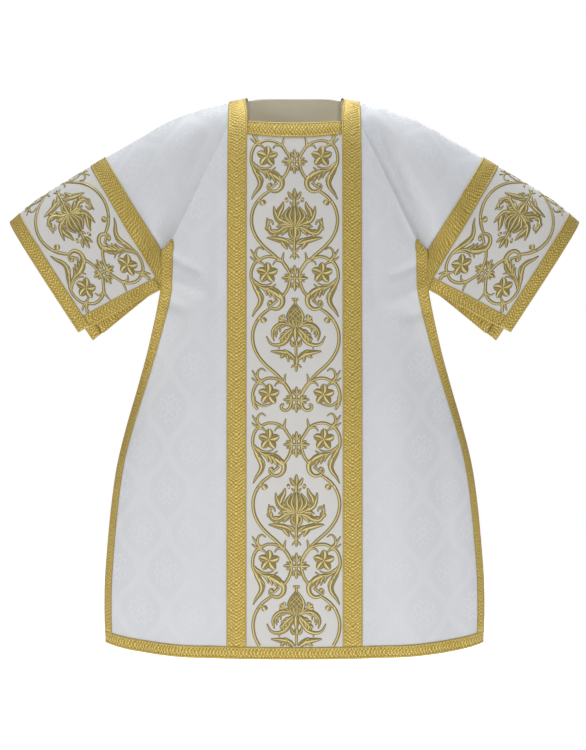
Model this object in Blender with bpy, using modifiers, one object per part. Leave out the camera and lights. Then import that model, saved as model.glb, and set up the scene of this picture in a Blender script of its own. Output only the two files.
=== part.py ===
"""A dalmatic: a lined liturgical tunic with open sides and open sleeves.

The garment is filled out as it is when worn and is hollow all the way through.
Front is -Y, and left and right are as seen from the front, so left is -X.  The
origin is on the shoulder line at the middle of the neck.  All sizes are in metres.

Two nets of points describe the cloth: one for the body, from the front hem over
the shoulders to the back hem, and one for each sleeve, from its front lower edge
over the arm to its back lower edge.  Every sewn piece is a block of one of these
nets, moved out along the cloth's normals by the layers that lie below it.
"""

import math

import bmesh
import bpy
from mathutils import Vector

NAME = "dalmatic"

# Cloth and trim thicknesses, and the gap left between pieces
CLOTH = 0.0020
ORPHREY_CLOTH = 0.0010
GALLOON_CLOTH = 0.0010
FACING_CLOTH = 0.0010
GAP = 0.0003
FOLD_ROOM = 0.0005
ON_ORPHREY = GAP + ORPHREY_CLOTH + GAP
TUCK = 0.0005
BUTT = 0.0008
SHOULDER_SEAM = 0.0005
SAME_PLACE = 0.001
WELD = 0.00001
FACING_ROWS = 4

# Galloon widths
CLAVUS_WIDTH = 0.0365
SLEEVE_BAND_WIDTH = 0.0350
EDGE_GALLOON = 0.0240
HEM_GALLOON = 0.0220
NECK_GALLOON = 0.0260
UNDERARM_GALLOON = 0.0240

# Body
LENGTH = 1.122
NECK_HALF = 0.0970
CLAVUS_OUTER = NECK_HALF + CLAVUS_WIDTH
FRONT_NECK_DROP = 0.0600
BACK_NECK_DROP = 0.0350
NECK_RAISE = 0.0070
NECK_SAG = 0.0095
NECK_REACH = 0.0350
SEAM_FOOT_X = 0.2500
SEAM_FOOT_DROP = 0.2980
BAND_INNER_DROP = 0.3160
ARMPIT_X = 0.2660
ARMPIT_DROP = 0.3895
SIDE_TIP = 0.0300
HEM_RISE = 0.0170

# How deep the filled-out cloth stands from the shoulder line, front and back
CHEST_DEPTH = {"front": 0.140, "back": 0.130}
SKIRT_DEPTH = {"front": 0.146, "back": 0.132}
SHOULDER_DEPTH = 0.080
SHOULDER_ROUNDING = 0.120
CHEST_SPREAD = 0.200
SKIRT_START = 0.360
SKIRT_BLEND = 0.300
SIDE_CLOSING = 1.040
LEAN = 0.008

# The rise of the back neck over the nape
NAPE_LIFT = 0.055
NAPE_DROP = 0.060
NAPE_HALF = 0.145
NAPE_POWER = 5

# Sleeve
CUFF_TOP = (0.5826, -0.2500)
CUFF_FOOT = {"front": (0.4300, -0.4780), "back": (0.4214, -0.4904)}
SLEEVE_ARMPIT_DROP = {"front": ARMPIT_DROP, "back": 0.364}
BAND_INNER_TOP = 0.3877
BAND_OUTER_TOP = 0.4173
SLEEVE_DEPTH = {"front": 0.085, "back": 0.072}
SLEEVE_ROUNDING = {"front": 0.080, "back": 0.060}
SLEEVE_LEAN = {"front": 0.080, "back": -0.020}
SLEEVE_BLEND = 0.110
SEAM_RECESS = CLOTH + 0.0010
RECESS_REACH = 0.040
ARMPIT_ROOM = 0.0024

# Top line of the shoulder and sleeve: distance from the centre line, height
TOP_LINE = (
    (0.0000, 0.000),
    (0.1040, 0.000),
    (0.1357, -0.004),
    (0.2125, -0.026),
    (0.2596, -0.044),
    (0.3307, -0.085),
    (0.3877, -0.118),
    (0.4173, -0.136),
    (0.5316, -0.207),
    (0.5826, -0.250),
)

# Side edge of the body panels: drop below the shoulder line, half width
SIDE_LINE = (
    (FRONT_NECK_DROP, CLAVUS_OUTER),
    (SEAM_FOOT_DROP, SEAM_FOOT_X),
    (BAND_INNER_DROP, ARMPIT_X),
    (ARMPIT_DROP, ARMPIT_X + 0.001),
    (0.5030, 0.2920),
    (0.5840, 0.3150),
    (0.6650, 0.3390),
    (0.7470, 0.3590),
    (0.8280, 0.3705),
    (0.9090, 0.3780),
    (0.9900, 0.3835),
    (1.0600, 0.3845),
    (LENGTH, 0.3825),
)

# Side galloon across the outline: drop below the shoulder line, width
SIDE_GALLOON = (
    (0.4000, 0.0205),
    (0.4700, 0.0180),
    (0.5500, 0.0160),
    (0.6300, 0.0145),
    (0.7200, 0.0132),
    (LENGTH, 0.0145),
)

# Rows of the body net, as drops below the shoulder line
STRAP_DROPS = (0.0, 0.002, 0.010, 0.022, BACK_NECK_DROP, FRONT_NECK_DROP)
SEAM_DROPS = (0.0865, 0.130, 0.182, 0.238, 0.272, SEAM_FOOT_DROP)
SKIRT_DROPS = (
    BAND_INNER_DROP,
    0.345,
    ARMPIT_DROP,
    0.450,
    0.530,
    0.615,
    0.705,
    0.795,
    0.885,
    0.970,
    1.045,
    LENGTH - HEM_GALLOON,
    LENGTH,
)
BODY_DROPS = STRAP_DROPS + SEAM_DROPS + SKIRT_DROPS
LAST_ROW = len(BODY_DROPS) - 1
RIDGE_ROW = LAST_ROW

# Columns of the body net, counted from the centre line
CENTRE_COLUMNS = (0.0, 0.050, NECK_HALF, CLAVUS_OUTER)
WING_FRACTIONS = (0.36, 0.72)
NECK_COLUMN = 2
CLAVUS_COLUMN = 3
TRIM_COLUMN = CLAVUS_COLUMN + len(WING_FRACTIONS) + 1
EDGE_COLUMN = TRIM_COLUMN + 1

# Columns of the sleeve net, counted from the seam
BAND_INNER_COLUMN = 3
BAND_OUTER_COLUMN = 4
CUFF_TRIM_COLUMN = 7
CUFF_EDGE_COLUMN = 8
UPPER_SLEEVE_TOPS = (0.2150, 0.3000)
CUFF_FRACTIONS = (0.0, 0.34, 0.66)

# Rows of the sleeve net that lie beside the straps and the seam, ridge to lower edge
SLEEVE_DROPS = STRAP_DROPS + SEAM_DROPS
SLEEVE_LAST = len(SLEEVE_DROPS) - 1
SLEEVE_TRIM = SLEEVE_LAST - 1
STRAP_SHARE = 0.190

# Finish of each kind of cloth: colour, roughness, metallic
FINISHES = {
    "white_damask": ((0.80, 0.80, 0.84, 1.0), 0.55, 0.0),
    "ivory_orphrey": ((0.76, 0.74, 0.69, 1.0), 0.60, 0.0),
    "gold_galloon": ((0.70, 0.47, 0.10, 1.0), 0.38, 0.6),
    "neck_lining": ((0.50, 0.48, 0.43, 1.0), 0.70, 0.0),
}


def smooth(value):
    """Ease from 0 to 1."""
    value = min(max(value, 0.0), 1.0)
    return value * value * (3.0 - 2.0 * value)


def mix(first, second, share):
    return first + (second - first) * share


def along(table, key):
    """Read a two-column table at a key, with straight lines between its rows."""
    for (low, first), (high, second) in zip(table, table[1:]):
        if key <= high:
            return mix(first, second, max(key - low, 0.0) / (high - low))
    return table[-1][1]


def top_height(x):
    """Height of the shoulder and sleeve top line."""
    return along(TOP_LINE, abs(x))


def nape_lift(x, drop):
    """How far the cloth behind the neck is carried up over the nape."""
    spread = math.exp(-((abs(x) / NAPE_HALF) ** NAPE_POWER))
    reach = drop / NAPE_DROP
    return NAPE_LIFT * spread * reach * math.exp(1.0 - reach)


def neck_shift(x, drop):
    """How the front neckline rises next to the clavi and sags between them."""
    foot = FRONT_NECK_DROP + NECK_GALLOON
    middle = FRONT_NECK_DROP + NECK_GALLOON * 0.5
    inside = 1.0 - smooth((abs(x) - NECK_HALF) / CLAVUS_WIDTH)
    dip = max(1.0 - (x / NECK_HALF) ** 2, 0.0)
    rise = NECK_RAISE * inside * math.exp(-(((drop - middle) / NECK_REACH) ** 2))
    return rise - NECK_SAG * dip * math.exp(-(((drop - foot) / NECK_REACH) ** 2))


def body_depth(face, x, z):
    """Distance of the body cloth from the plane of the shoulder line."""
    drop = max(top_height(x) - z, 0.0)
    bulge = math.exp(-((x / CHEST_SPREAD) ** 2))
    chest = mix(SHOULDER_DEPTH, CHEST_DEPTH[face], bulge)
    chest *= math.sqrt(1.0 - math.exp(-drop / SHOULDER_ROUNDING))
    share = abs(x) / (SIDE_CLOSING * along(SIDE_LINE, -z))
    skirt = SKIRT_DEPTH[face] * math.sqrt(max(1.0 - share * share, 0.0))
    depth = mix(chest, skirt, smooth((-z - SKIRT_START) / SKIRT_BLEND))
    return depth + LEAN * drop


def placed(face, x, z, depth):
    """A point of the cloth from its face, outline place and depth."""
    if face == "front":
        return Vector((x, -depth, z))
    return Vector((x, depth, z + nape_lift(x, max(top_height(x) - z, 0.0))))


def column_x(column, drop):
    """Distance of a body column from the centre line at a row."""
    if column <= CLAVUS_COLUMN:
        return CENTRE_COLUMNS[column]
    edge = along(SIDE_LINE, drop)
    trim = along(SIDE_GALLOON, drop) * smooth((drop - SEAM_FOOT_DROP) / SIDE_TIP)
    if column == EDGE_COLUMN:
        return max(edge, CLAVUS_OUTER)
    if column == TRIM_COLUMN:
        return max(edge - trim, CLAVUS_OUTER)
    fraction = WING_FRACTIONS[column - CLAVUS_COLUMN - 1]
    return max(mix(CLAVUS_OUTER, edge - trim, fraction), CLAVUS_OUTER)


def body_point(face, column, drop):
    """A point of the body net; column is counted from the centre line, + to +X."""
    x = math.copysign(column_x(abs(column), drop), column)
    z = top_height(x) * math.exp(-drop / 0.050) - drop
    if face == "front":
        z += neck_shift(x, drop)
    corner = (abs(x) / along(SIDE_LINE, LENGTH)) ** 5
    z += HEM_RISE * corner * smooth((drop - 0.75) / (LENGTH - 0.75))
    return placed(face, x, z, body_depth(face, x, z))


def sleeve_lines(face):
    """Top and foot of each sleeve column in the outline plane, without the seam."""
    band_foot = (ARMPIT_X + ARMPIT_ROOM, -BAND_INNER_DROP)
    lines = []
    for number, top in enumerate(UPPER_SLEEVE_TOPS, 1):
        share = number / (len(UPPER_SLEEVE_TOPS) + 1)
        foot = (
            mix(SEAM_FOOT_X, band_foot[0], share),
            mix(-SEAM_FOOT_DROP, band_foot[1], share),
        )
        lines.append(((top, top_height(top)), foot))
    lines.append(((BAND_INNER_TOP, top_height(BAND_INNER_TOP)), band_foot))
    cuff_top = Vector(CUFF_TOP)
    cuff_foot = Vector(CUFF_FOOT[face])
    band_top = Vector((BAND_OUTER_TOP, top_height(BAND_OUTER_TOP)))
    armpit = Vector((ARMPIT_X + ARMPIT_ROOM, -SLEEVE_ARMPIT_DROP[face]))
    shares = [(share, share) for share in CUFF_FRACTIONS]
    trim_top = 1.0 - EDGE_GALLOON / (cuff_top - band_top).length
    trim_foot = 1.0 - EDGE_GALLOON / (cuff_foot - armpit).length
    shares += [(trim_top, trim_foot), (1.0, 1.0)]
    for top_share, foot_share in shares:
        top = band_top.lerp(cuff_top, top_share)
        lines.append(((top.x, top_height(top.x)), tuple(armpit.lerp(cuff_foot, foot_share))))
    return lines


def sleeve_share(drop):
    """How far down a sleeve column a row lies, from the ridge (0) to the foot (1)."""
    if drop <= FRONT_NECK_DROP:
        return STRAP_SHARE * drop / FRONT_NECK_DROP
    reach = (drop - FRONT_NECK_DROP) / (SEAM_FOOT_DROP - FRONT_NECK_DROP)
    return mix(STRAP_SHARE, 1.0, reach)


def sleeve_point(face, column, row):
    """A point of the right-hand sleeve net."""
    drop = SLEEVE_DROPS[row]
    seam = body_point(face, EDGE_COLUMN, drop)
    if column == 0:
        return seam
    (top_x, top_z), (foot_x, foot_z) = sleeve_lines(face)[column - 1]
    length = math.hypot(top_x - foot_x, top_z - foot_z)
    share = sleeve_share(drop)
    if row == SLEEVE_TRIM and column >= BAND_OUTER_COLUMN:
        share = 1.0 - UNDERARM_GALLOON / length
    x = mix(top_x, foot_x, share)
    z = mix(top_z, foot_z, share)
    reach = share * length
    own = SLEEVE_DEPTH[face] * math.sqrt(1.0 - math.exp(-reach / SLEEVE_ROUNDING[face]))
    own += SLEEVE_LEAN[face] * reach
    away = math.hypot(x - seam.x, z - seam.z) / SLEEVE_BLEND
    return placed(face, x, z, mix(body_depth(face, x, z), own, smooth(away)))


class Net:
    """Rows and columns of cloth points with their outward normals."""

    def __init__(self, points):
        self.points = points
        self.rows = len(points)
        self.columns = len(points[0])
        self.normals = [
            [self.normal_at(row, column) for column in range(self.columns)]
            for row in range(self.rows)
        ]

    def neighbour(self, row, column, step_row, step_column):
        """The nearest point in one direction that isn't the same place."""
        here = self.points[row][column]
        found = here
        row += step_row
        column += step_column
        while 0 <= row < self.rows and 0 <= column < self.columns:
            found = self.points[row][column]
            if (found - here).length > SAME_PLACE:
                break
            row += step_row
            column += step_column
        return found

    def normal_at(self, row, column):
        across = self.neighbour(row, column, 0, 1) - self.neighbour(row, column, 0, -1)
        up = self.neighbour(row, column, 1, 0) - self.neighbour(row, column, -1, 0)
        return across.cross(up).normalized()

    def lifted(self, row, column, height):
        return self.points[row][column] + self.normals[row][column] * height

    def block(self, rows, columns, height):
        """A grid of points moved out from the cloth by a height."""
        return [[self.lifted(row, column, height) for column in columns] for row in rows]

    def fold(self, trim, edge, height):
        """Four points round a free edge, from the outer side to the inner side."""
        out = (self.points[edge[0]][edge[1]] - self.points[trim[0]][trim[1]]).normalized()
        under = -(CLOTH + GAP)
        return [
            self.lifted(*trim, height),
            self.lifted(*edge, height) + out * FOLD_ROOM,
            self.lifted(*edge, under) + out * FOLD_ROOM,
            self.lifted(*trim, under),
        ]

    def fold_columns(self, rows, trim, edge, height):
        """A binding round an edge that runs along a column."""
        grid = [self.fold((row, trim), (row, edge), height) for row in rows]
        if edge < trim:
            grid = [line[::-1] for line in grid]
        return grid

    def fold_rows(self, columns, trim, edge, heights):
        """A binding round an edge that runs along a row."""
        lines = [
            self.fold((trim, column), (edge, column), height)
            for column, height in zip(columns, heights)
        ]
        grid = [list(line) for line in zip(*lines)]
        return grid[::-1] if edge < trim else grid


def body_net():
    """Front hem, over the shoulders, to back hem; middle column on the centre line."""
    columns = range(-EDGE_COLUMN, EDGE_COLUMN + 1)
    front = [
        [body_point("front", column, drop) for column in columns]
        for drop in reversed(BODY_DROPS)
    ]
    back = [[body_point("back", column, drop) for column in columns] for drop in BODY_DROPS]
    return Net(front + back[1:])


def sleeve_net(side):
    """Front lower edge, over the arm, to back lower edge; seam to cuff on the +X side."""
    columns = range(CUFF_EDGE_COLUMN + 1)
    front = [
        [sleeve_point("front", column, row) for column in columns]
        for row in range(SLEEVE_LAST, -1, -1)
    ]
    back = [
        [sleeve_point("back", column, row) for column in columns]
        for row in range(1, SLEEVE_LAST + 1)
    ]
    points = front + back
    if side < 0:
        flip = Vector((-1.0, 1.0, 1.0))
        points = [[point * flip for point in reversed(line)] for line in points]
    net = Net(points)
    for row, line in enumerate(points):
        seam = line[0 if side > 0 else CUFF_EDGE_COLUMN].copy()
        for column, point in enumerate(line):
            near = math.exp(-((((point - seam).length) / RECESS_REACH) ** 2))
            line[column] = net.lifted(row, column, -SEAM_RECESS * near)
    return net


def pull_in(grid, left=0.0, right=0.0, first=0.0, last=0.0):
    """Shorten a grid of points at its ends, to leave room for its neighbours."""
    for line in grid:
        line[0] = line[0] + (line[1] - line[0]).normalized() * left
        line[-1] = line[-1] + (line[-2] - line[-1]).normalized() * right
    for end, inner, amount in ((0, 1, first), (-1, -2, last)):
        for column, point in enumerate(grid[end]):
            way = grid[inner][column] - point
            grid[end][column] = point + way.normalized() * amount
    return grid


def add_material(name, finish):
    colour, roughness, metallic = FINISHES[finish]
    material = bpy.data.materials.new(name + "_" + finish)
    material.use_nodes = True
    shader = material.node_tree.nodes["Principled BSDF"]
    shader.inputs["Base Color"].default_value = colour
    shader.inputs["Roughness"].default_value = roughness
    shader.inputs["Metallic"].default_value = metallic
    return material


def add_cloth(garment, name, grid, thickness, finish, side=1, missing=None, turned=None):
    """A sewn piece: an open grid of cloth, thickened out (side 1) or in (side -1).

    Cells that are missing are left out.  Turned cells lie the other way round under a
    fold, so they take the other diagonal and stay parallel to the cloth above them.
    """
    rows = len(grid)
    columns = len(grid[0])
    mesh_data = bmesh.new()
    bmesh.ops.create_grid(
        mesh_data, x_segments=columns - 1, y_segments=rows - 1, size=1.0
    )
    mesh_data.verts.ensure_lookup_table()
    mesh_data.faces.ensure_lookup_table()
    for row, line in enumerate(grid):
        for column, point in enumerate(line):
            mesh_data.verts[row * columns + column].co = point
    faces = list(mesh_data.faces)
    cells = [(row, column) for row in range(rows - 1) for column in range(columns - 1)]
    crossed = [face for face, cell in zip(faces, cells) if turned and turned(*cell)]
    bmesh.ops.triangulate(mesh_data, faces=crossed, quad_method="ALTERNATE")
    gone = [face for face, cell in zip(faces, cells) if missing and missing(*cell)]
    bmesh.ops.delete(mesh_data, geom=gone, context="FACES")
    bmesh.ops.triangulate(mesh_data, faces=mesh_data.faces, quad_method="FIXED")
    bmesh.ops.remove_doubles(mesh_data, verts=mesh_data.verts, dist=WELD)
    mesh = bpy.data.meshes.new(name)
    mesh_data.to_mesh(mesh)
    mesh_data.free()
    mesh.shade_smooth()
    piece = bpy.data.objects.new(name, mesh)
    garment.objects.link(piece)
    piece.data.materials.append(add_material(name, finish))
    wall = piece.modifiers.new("wall", "SOLIDIFY")
    wall.thickness = thickness
    wall.offset = side
    return piece


def add_binding(garment, name, grid, across, first):
    """A galloon folded round an edge; its inner leg is the first or the last cell."""
    inner_cell = 0 if first else 2

    def turned(row, column):
        return (column if across else row) == inner_cell

    add_cloth(garment, name, grid, GALLOON_CLOTH, "gold_galloon", turned=turned)


def add_panels(garment, body):
    """Front and back body panels, each with its neck notch and shoulder straps."""
    middle = EDGE_COLUMN
    columns = range(body.columns)
    necks = {"front": FRONT_NECK_DROP, "back": BACK_NECK_DROP}
    for face, neck in necks.items():
        if face == "front":
            rows = range(RIDGE_ROW + 1)
            drops = BODY_DROPS[::-1]
        else:
            rows = range(RIDGE_ROW, body.rows)
            drops = BODY_DROPS
        grid = body.block(rows, columns, 0.0)
        if face == "front":
            pull_in(grid, last=SHOULDER_SEAM)
        else:
            pull_in(grid, first=SHOULDER_SEAM)

        def missing(row, column, drops=drops, neck=neck):
            low = max(drops[row], drops[row + 1])
            away = max(middle - column, column + 1 - middle)
            if away <= NECK_COLUMN:
                return low <= neck
            return away > CLAVUS_COLUMN and low <= FRONT_NECK_DROP

        name = face + "_panel"
        add_cloth(garment, name, grid, CLOTH, "white_damask", -1, missing)


def row_of(drop, face):
    """Number of the body row at a drop, front or back."""
    place = BODY_DROPS.index(drop)
    return RIDGE_ROW - place if face == "front" else RIDGE_ROW + place


def add_orphreys(garment, body):
    """Ivory columns that run from the neck to the hem under the clavi."""
    middle = EDGE_COLUMN
    columns = range(middle - CLAVUS_COLUMN, middle + CLAVUS_COLUMN + 1)
    spans = {
        "front": range(0, row_of(FRONT_NECK_DROP, "front") + 1),
        "back": range(row_of(BACK_NECK_DROP, "back"), body.rows),
    }
    for face, rows in spans.items():
        grid = body.block(rows, columns, GAP)
        pull_in(grid, left=TUCK, right=TUCK)
        name = "orphrey_" + face
        add_cloth(garment, name, grid, ORPHREY_CLOTH, "ivory_orphrey")


def add_clavi(garment, body):
    """The two wide galloons from the front hem over the shoulders to the back hem."""
    rows = range(1, body.rows - 1)
    for side, name in ((-1, "clavus_left"), (1, "clavus_right")):
        ends = sorted(EDGE_COLUMN + side * place for place in (NECK_COLUMN, CLAVUS_COLUMN))
        grid = body.block(rows, ends, ON_ORPHREY)
        pull_in(grid, first=GAP, last=GAP)
        add_cloth(garment, name, grid, GALLOON_CLOTH, "gold_galloon")


def add_neck(garment, body):
    """Neck galloons, front and back, and the facing inside the back neck."""
    columns = range(EDGE_COLUMN - NECK_COLUMN, EDGE_COLUMN + NECK_COLUMN + 1)
    front = row_of(FRONT_NECK_DROP, "front")
    back = row_of(BACK_NECK_DROP, "back")
    for name, rows in (
        ("neck_galloon_front", range(front - 1, front + 1)),
        ("neck_galloon_back", range(back, back + 2)),
    ):
        grid = body.block(rows, columns, ON_ORPHREY)
        pull_in(grid, left=GAP, right=GAP)
        add_cloth(garment, name, grid, GALLOON_CLOTH, "gold_galloon")
    grid = body.block(range(back, back + FACING_ROWS), columns, -(CLOTH + GAP))
    pull_in(grid, first=GAP)
    add_cloth(garment, "neck_facing_back", grid, FACING_CLOTH, "neck_lining", -1)


def add_body_edges(garment, body):
    """Galloons folded round the hems and the open sides."""
    middle = EDGE_COLUMN
    columns = range(body.columns)
    heights = [
        ON_ORPHREY if abs(column - middle) <= CLAVUS_COLUMN else GAP for column in columns
    ]
    top = BAND_INNER_DROP
    spans = {
        "front": (1, 0, range(1, row_of(top, "front") + 1)),
        "back": (body.rows - 2, body.rows - 1, range(row_of(top, "back"), body.rows - 1)),
    }
    for face, (trim, edge, rows) in spans.items():
        grid = body.fold_rows(columns, trim, edge, heights)
        add_binding(garment, "hem_galloon_" + face, grid, False, edge < trim)
        for side, word in ((-1, "left"), (1, "right")):
            inner = middle + side * TRIM_COLUMN
            outer = middle + side * EDGE_COLUMN
            grid = body.fold_columns(rows, inner, outer, GAP)
            pull_in(grid, first=BUTT, last=BUTT)
            name = "side_galloon_" + face + "_" + word
            add_binding(garment, name, grid, True, outer < inner)


def add_sleeve(garment, side, word):
    """One sleeve with its cuff orphrey and the galloons sewn on it."""
    net = sleeve_net(side)

    def place(column):
        return column if side > 0 else CUFF_EDGE_COLUMN - column

    def span(first, last):
        return sorted(place(column) for column in range(first, last + 1))

    rows = range(net.rows)
    grid = net.block(rows, range(net.columns), 0.0)
    add_cloth(garment, "sleeve_" + word, grid, CLOTH, "white_damask", -1)

    grid = net.block(rows, span(BAND_INNER_COLUMN, CUFF_EDGE_COLUMN), GAP)
    inner = {"left": TUCK} if side > 0 else {"right": TUCK}
    pull_in(grid, **inner)
    add_cloth(garment, "cuff_orphrey_" + word, grid, ORPHREY_CLOTH, "ivory_orphrey")

    grid = net.block(rows, span(BAND_INNER_COLUMN, BAND_OUTER_COLUMN), ON_ORPHREY)
    add_cloth(garment, "sleeve_band_" + word, grid, GALLOON_CLOTH, "gold_galloon")

    trim = place(CUFF_TRIM_COLUMN)
    edge = place(CUFF_EDGE_COLUMN)
    grid = net.fold_columns(rows, trim, edge, ON_ORPHREY)
    add_binding(garment, "cuff_galloon_" + word, grid, True, edge < trim)

    columns = span(BAND_OUTER_COLUMN, CUFF_TRIM_COLUMN)
    heights = [ON_ORPHREY] * len(columns)
    for face, inner_row, edge_row in (
        ("front", 1, 0),
        ("back", net.rows - 2, net.rows - 1),
    ):
        grid = net.fold_rows(columns, inner_row, edge_row, heights)
        pull_in(grid, left=BUTT, right=BUTT)
        name = "underarm_galloon_" + face + "_" + word
        add_binding(garment, name, grid, False, edge_row < inner_row)


def main():
    for old in list(bpy.data.objects):
        bpy.data.objects.remove(old, do_unlink=True)
    garment = bpy.data.collections.new(NAME)
    bpy.context.scene.collection.children.link(garment)
    body = body_net()
    add_panels(garment, body)
    add_orphreys(garment, body)
    add_clavi(garment, body)
    add_neck(garment, body)
    add_body_edges(garment, body)
    add_sleeve(garment, -1, "left")
    add_sleeve(garment, 1, "right")
    centre = bpy.data.objects.new(NAME, None)
    garment.objects.link(centre)
    for piece in garment.objects:
        if piece is not centre:
            piece.parent = centre


main()
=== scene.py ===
import bisect
import functools
import math

import bmesh
import bpy
from mathutils import Matrix, Vector


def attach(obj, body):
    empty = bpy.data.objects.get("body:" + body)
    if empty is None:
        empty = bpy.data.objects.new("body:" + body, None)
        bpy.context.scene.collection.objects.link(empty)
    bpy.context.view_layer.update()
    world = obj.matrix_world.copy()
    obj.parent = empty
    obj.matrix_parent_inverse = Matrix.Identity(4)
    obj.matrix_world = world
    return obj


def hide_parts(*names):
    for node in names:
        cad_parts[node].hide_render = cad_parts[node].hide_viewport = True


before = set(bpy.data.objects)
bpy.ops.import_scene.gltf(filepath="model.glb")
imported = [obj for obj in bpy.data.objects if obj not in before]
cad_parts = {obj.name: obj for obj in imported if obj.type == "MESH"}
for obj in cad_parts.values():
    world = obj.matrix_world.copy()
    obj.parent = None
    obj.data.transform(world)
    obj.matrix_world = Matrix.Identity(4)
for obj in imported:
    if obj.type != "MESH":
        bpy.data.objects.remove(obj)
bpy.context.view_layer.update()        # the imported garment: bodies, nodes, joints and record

bl_info = {
    "name": "Dalmatic",
    "version": (1, 0, 0),
    "blender": (4, 5, 0),
    "location": "3D View > Sidebar > Dalmatic",
    "description": "Sews a white and gold dalmatic over its packed frame",
    "category": "Object",
}

BODY = "root"

# ---------------------------------------------------------------------------
# Cut of the garment, lengths in metres.  Front is -Y, left is -X as seen from the front.
# ---------------------------------------------------------------------------

LENGTH = 1.122
NECK_HALF = 0.0970
CLAVUS_OUTER = 0.1335
FRONT_NECK_DROP = 0.0600
BACK_NECK_DROP = 0.0350
NECK_RAISE = 0.0070
NECK_SAG = 0.0095
NECK_REACH = 0.0350
SEAM_FOOT_X = 0.2500
SEAM_FOOT_DROP = 0.2980
BAND_INNER_DROP = 0.3160
ARMPIT_X = 0.2660
ARMPIT_DROP = 0.3895
BACK_ARMPIT_DROP = 0.3640
ARMPIT_ROOM = 0.0010
SIDE_TIP = 0.0240
SIDE_TIP_SET = 0.0015
HEM_RISE = 0.0170
HEM_RISE_START = 0.75
HEM_RISE_POWER = 5
HEM_GALLOON = 0.0220
NECK_GALLOON = 0.0265
EDGE_GALLOON = 0.0240
SLEEVE_BAND = 0.0350

CHEST_DEPTH = {"front": 0.140, "back": 0.130}
SKIRT_DEPTH = {"front": 0.146, "back": 0.132}
SHOULDER_DEPTH = 0.080
SHOULDER_ROUNDING = 0.120
CHEST_SPREAD = 0.200
SKIRT_START = 0.360
SKIRT_BLEND = 0.300
SIDE_CLOSING = 1.040
LEAN = 0.008
SLOPE_REACH = 0.050

NAPE_LIFT = 0.055
NAPE_DROP = 0.060
NAPE_HALF = 0.145
NAPE_POWER = 5

CUFF_TOP = (0.5826, -0.2500)
CUFF_FOOT = {"front": (0.4300, -0.4780), "back": (0.4214, -0.4904)}
BAND_INNER_TOP = 0.3877
BAND_OUTER_TOP = 0.4173
SLEEVE_DEPTH = {"front": 0.085, "back": 0.072}
SLEEVE_ROUNDING = {"front": 0.080, "back": 0.060}
SLEEVE_LEAN = {"front": 0.080, "back": -0.020}
SLEEVE_BLEND = 0.110
STRAP_SHARE = 0.190

# How far the neck edges of the straps lean outwards on the shoulder line
STRAP_LEAN = 0.0060
STRAP_LEAN_DROP = 0.026

# Top line of the shoulder and sleeve: distance from the centre line, height
TOP_LINE = (
    (0.0000, 0.000),
    (0.1040, 0.000),
    (0.1357, -0.004),
    (0.2125, -0.026),
    (0.2596, -0.044),
    (0.3307, -0.085),
    (0.3877, -0.118),
    (0.4173, -0.136),
    (0.5316, -0.207),
    (0.5826, -0.250),
)

# Side edge of the body panels: drop below the shoulder line, half width
SIDE_LINE = (
    (FRONT_NECK_DROP, CLAVUS_OUTER),
    (SEAM_FOOT_DROP, SEAM_FOOT_X),
    (BAND_INNER_DROP, ARMPIT_X),
    (ARMPIT_DROP, ARMPIT_X + ARMPIT_ROOM),
    (0.5030, 0.2920),
    (0.5840, 0.3150),
    (0.6650, 0.3390),
    (0.7470, 0.3590),
    (0.8280, 0.3705),
    (0.9090, 0.3780),
    (0.9900, 0.3835),
    (1.0600, 0.3845),
    (LENGTH, 0.3825),
)

# Side galloon across the outline: drop below the shoulder line, width
SIDE_GALLOON = (
    (0.4000, 0.0215),
    (0.4700, 0.0195),
    (0.5500, 0.0172),
    (0.6300, 0.0155),
    (0.7200, 0.0135),
    (LENGTH, 0.0145),
)

# Layers over the cloth's face, in metres
CLOTH = 0.0020
ORPHREY_CLOTH = 0.0010
GALLOON_CLOTH = 0.0010
GAP = 0.0003
ON_CLOTH = GAP
ON_ORPHREY = GAP + ORPHREY_CLOTH + GAP
UNDER_CLOTH = -(CLOTH + GAP)
FOLD_ROOM = 0.0006
FOLD_ROOM_POWER = 8
SEAM_RECESS = 0.0032
WELD = 0.00001

# Rows of the neck facing, and how far it goes down as a share of the sleeve seam
FACING_ROWS = 18
FACING_REACH = 0.43

# How far the orphrey goes under a clavus and a clavus over it, in cells of the net
ORPHREY_TUCK = 0.7
CLAVUS_REACH = 0.2

# Gaps where the end of a piece butts against its neighbour, in cells of the net
PANEL_GAP = 0.1
CLAVUS_GAP = 0.05
SIDE_GAP = 0.05
NECK_GAP = 0.04
UNDERARM_GAP = 0.08

FACES = ("front", "back")
SIDES = ((-1, "left"), (1, "right"))

# Studio
FLOOR_HEIGHT = -1.450
FLOOR_RADIUS = 7.0
FLOOR_SIDES = 96
FLOOR_GLOW = 0.78
FLOOR_ROUGHNESS = 0.9
FLOOR_CLOUDS = 3.0
FLOOR_SHADES = (0.92, 0.95)
WHITE = (1.0, 1.0, 1.0, 1.0)
ROOM_TINT = (0.95, 0.975, 1.0, 1.0)
ROOM_LIGHT = 0.210
CAMERA_PLACE = (-0.003, -3.500, -0.564)
CAMERA_LENS = 81.6
CAMERA_SENSOR = 36.0
LIGHTS = (
    ("key_light", (-2.4, -2.5, 1.0), (0.0, 0.0, -0.6), 1.3, 23.0, (1.0, 0.99, 0.97)),
    ("fill_light", (2.2, -2.4, 0.2), (0.0, 0.0, -0.6), 1.8, 9.0, (0.95, 0.97, 1.0)),
    ("top_light", (0.0, 0.2, 2.2), (0.0, 0.0, -0.1), 1.6, 62.0, (0.92, 0.96, 1.0)),
    ("low_light", (0.0, -1.35, -1.28), (0.0, 0.0, -1.05), 0.3, 0.9, (1.0, 0.99, 0.97)),
    ("back_light", (0.8, 3.0, 1.6), (0.0, 0.0, -0.5), 1.8, 30.0, (1.0, 0.99, 0.97)),
)

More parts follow.
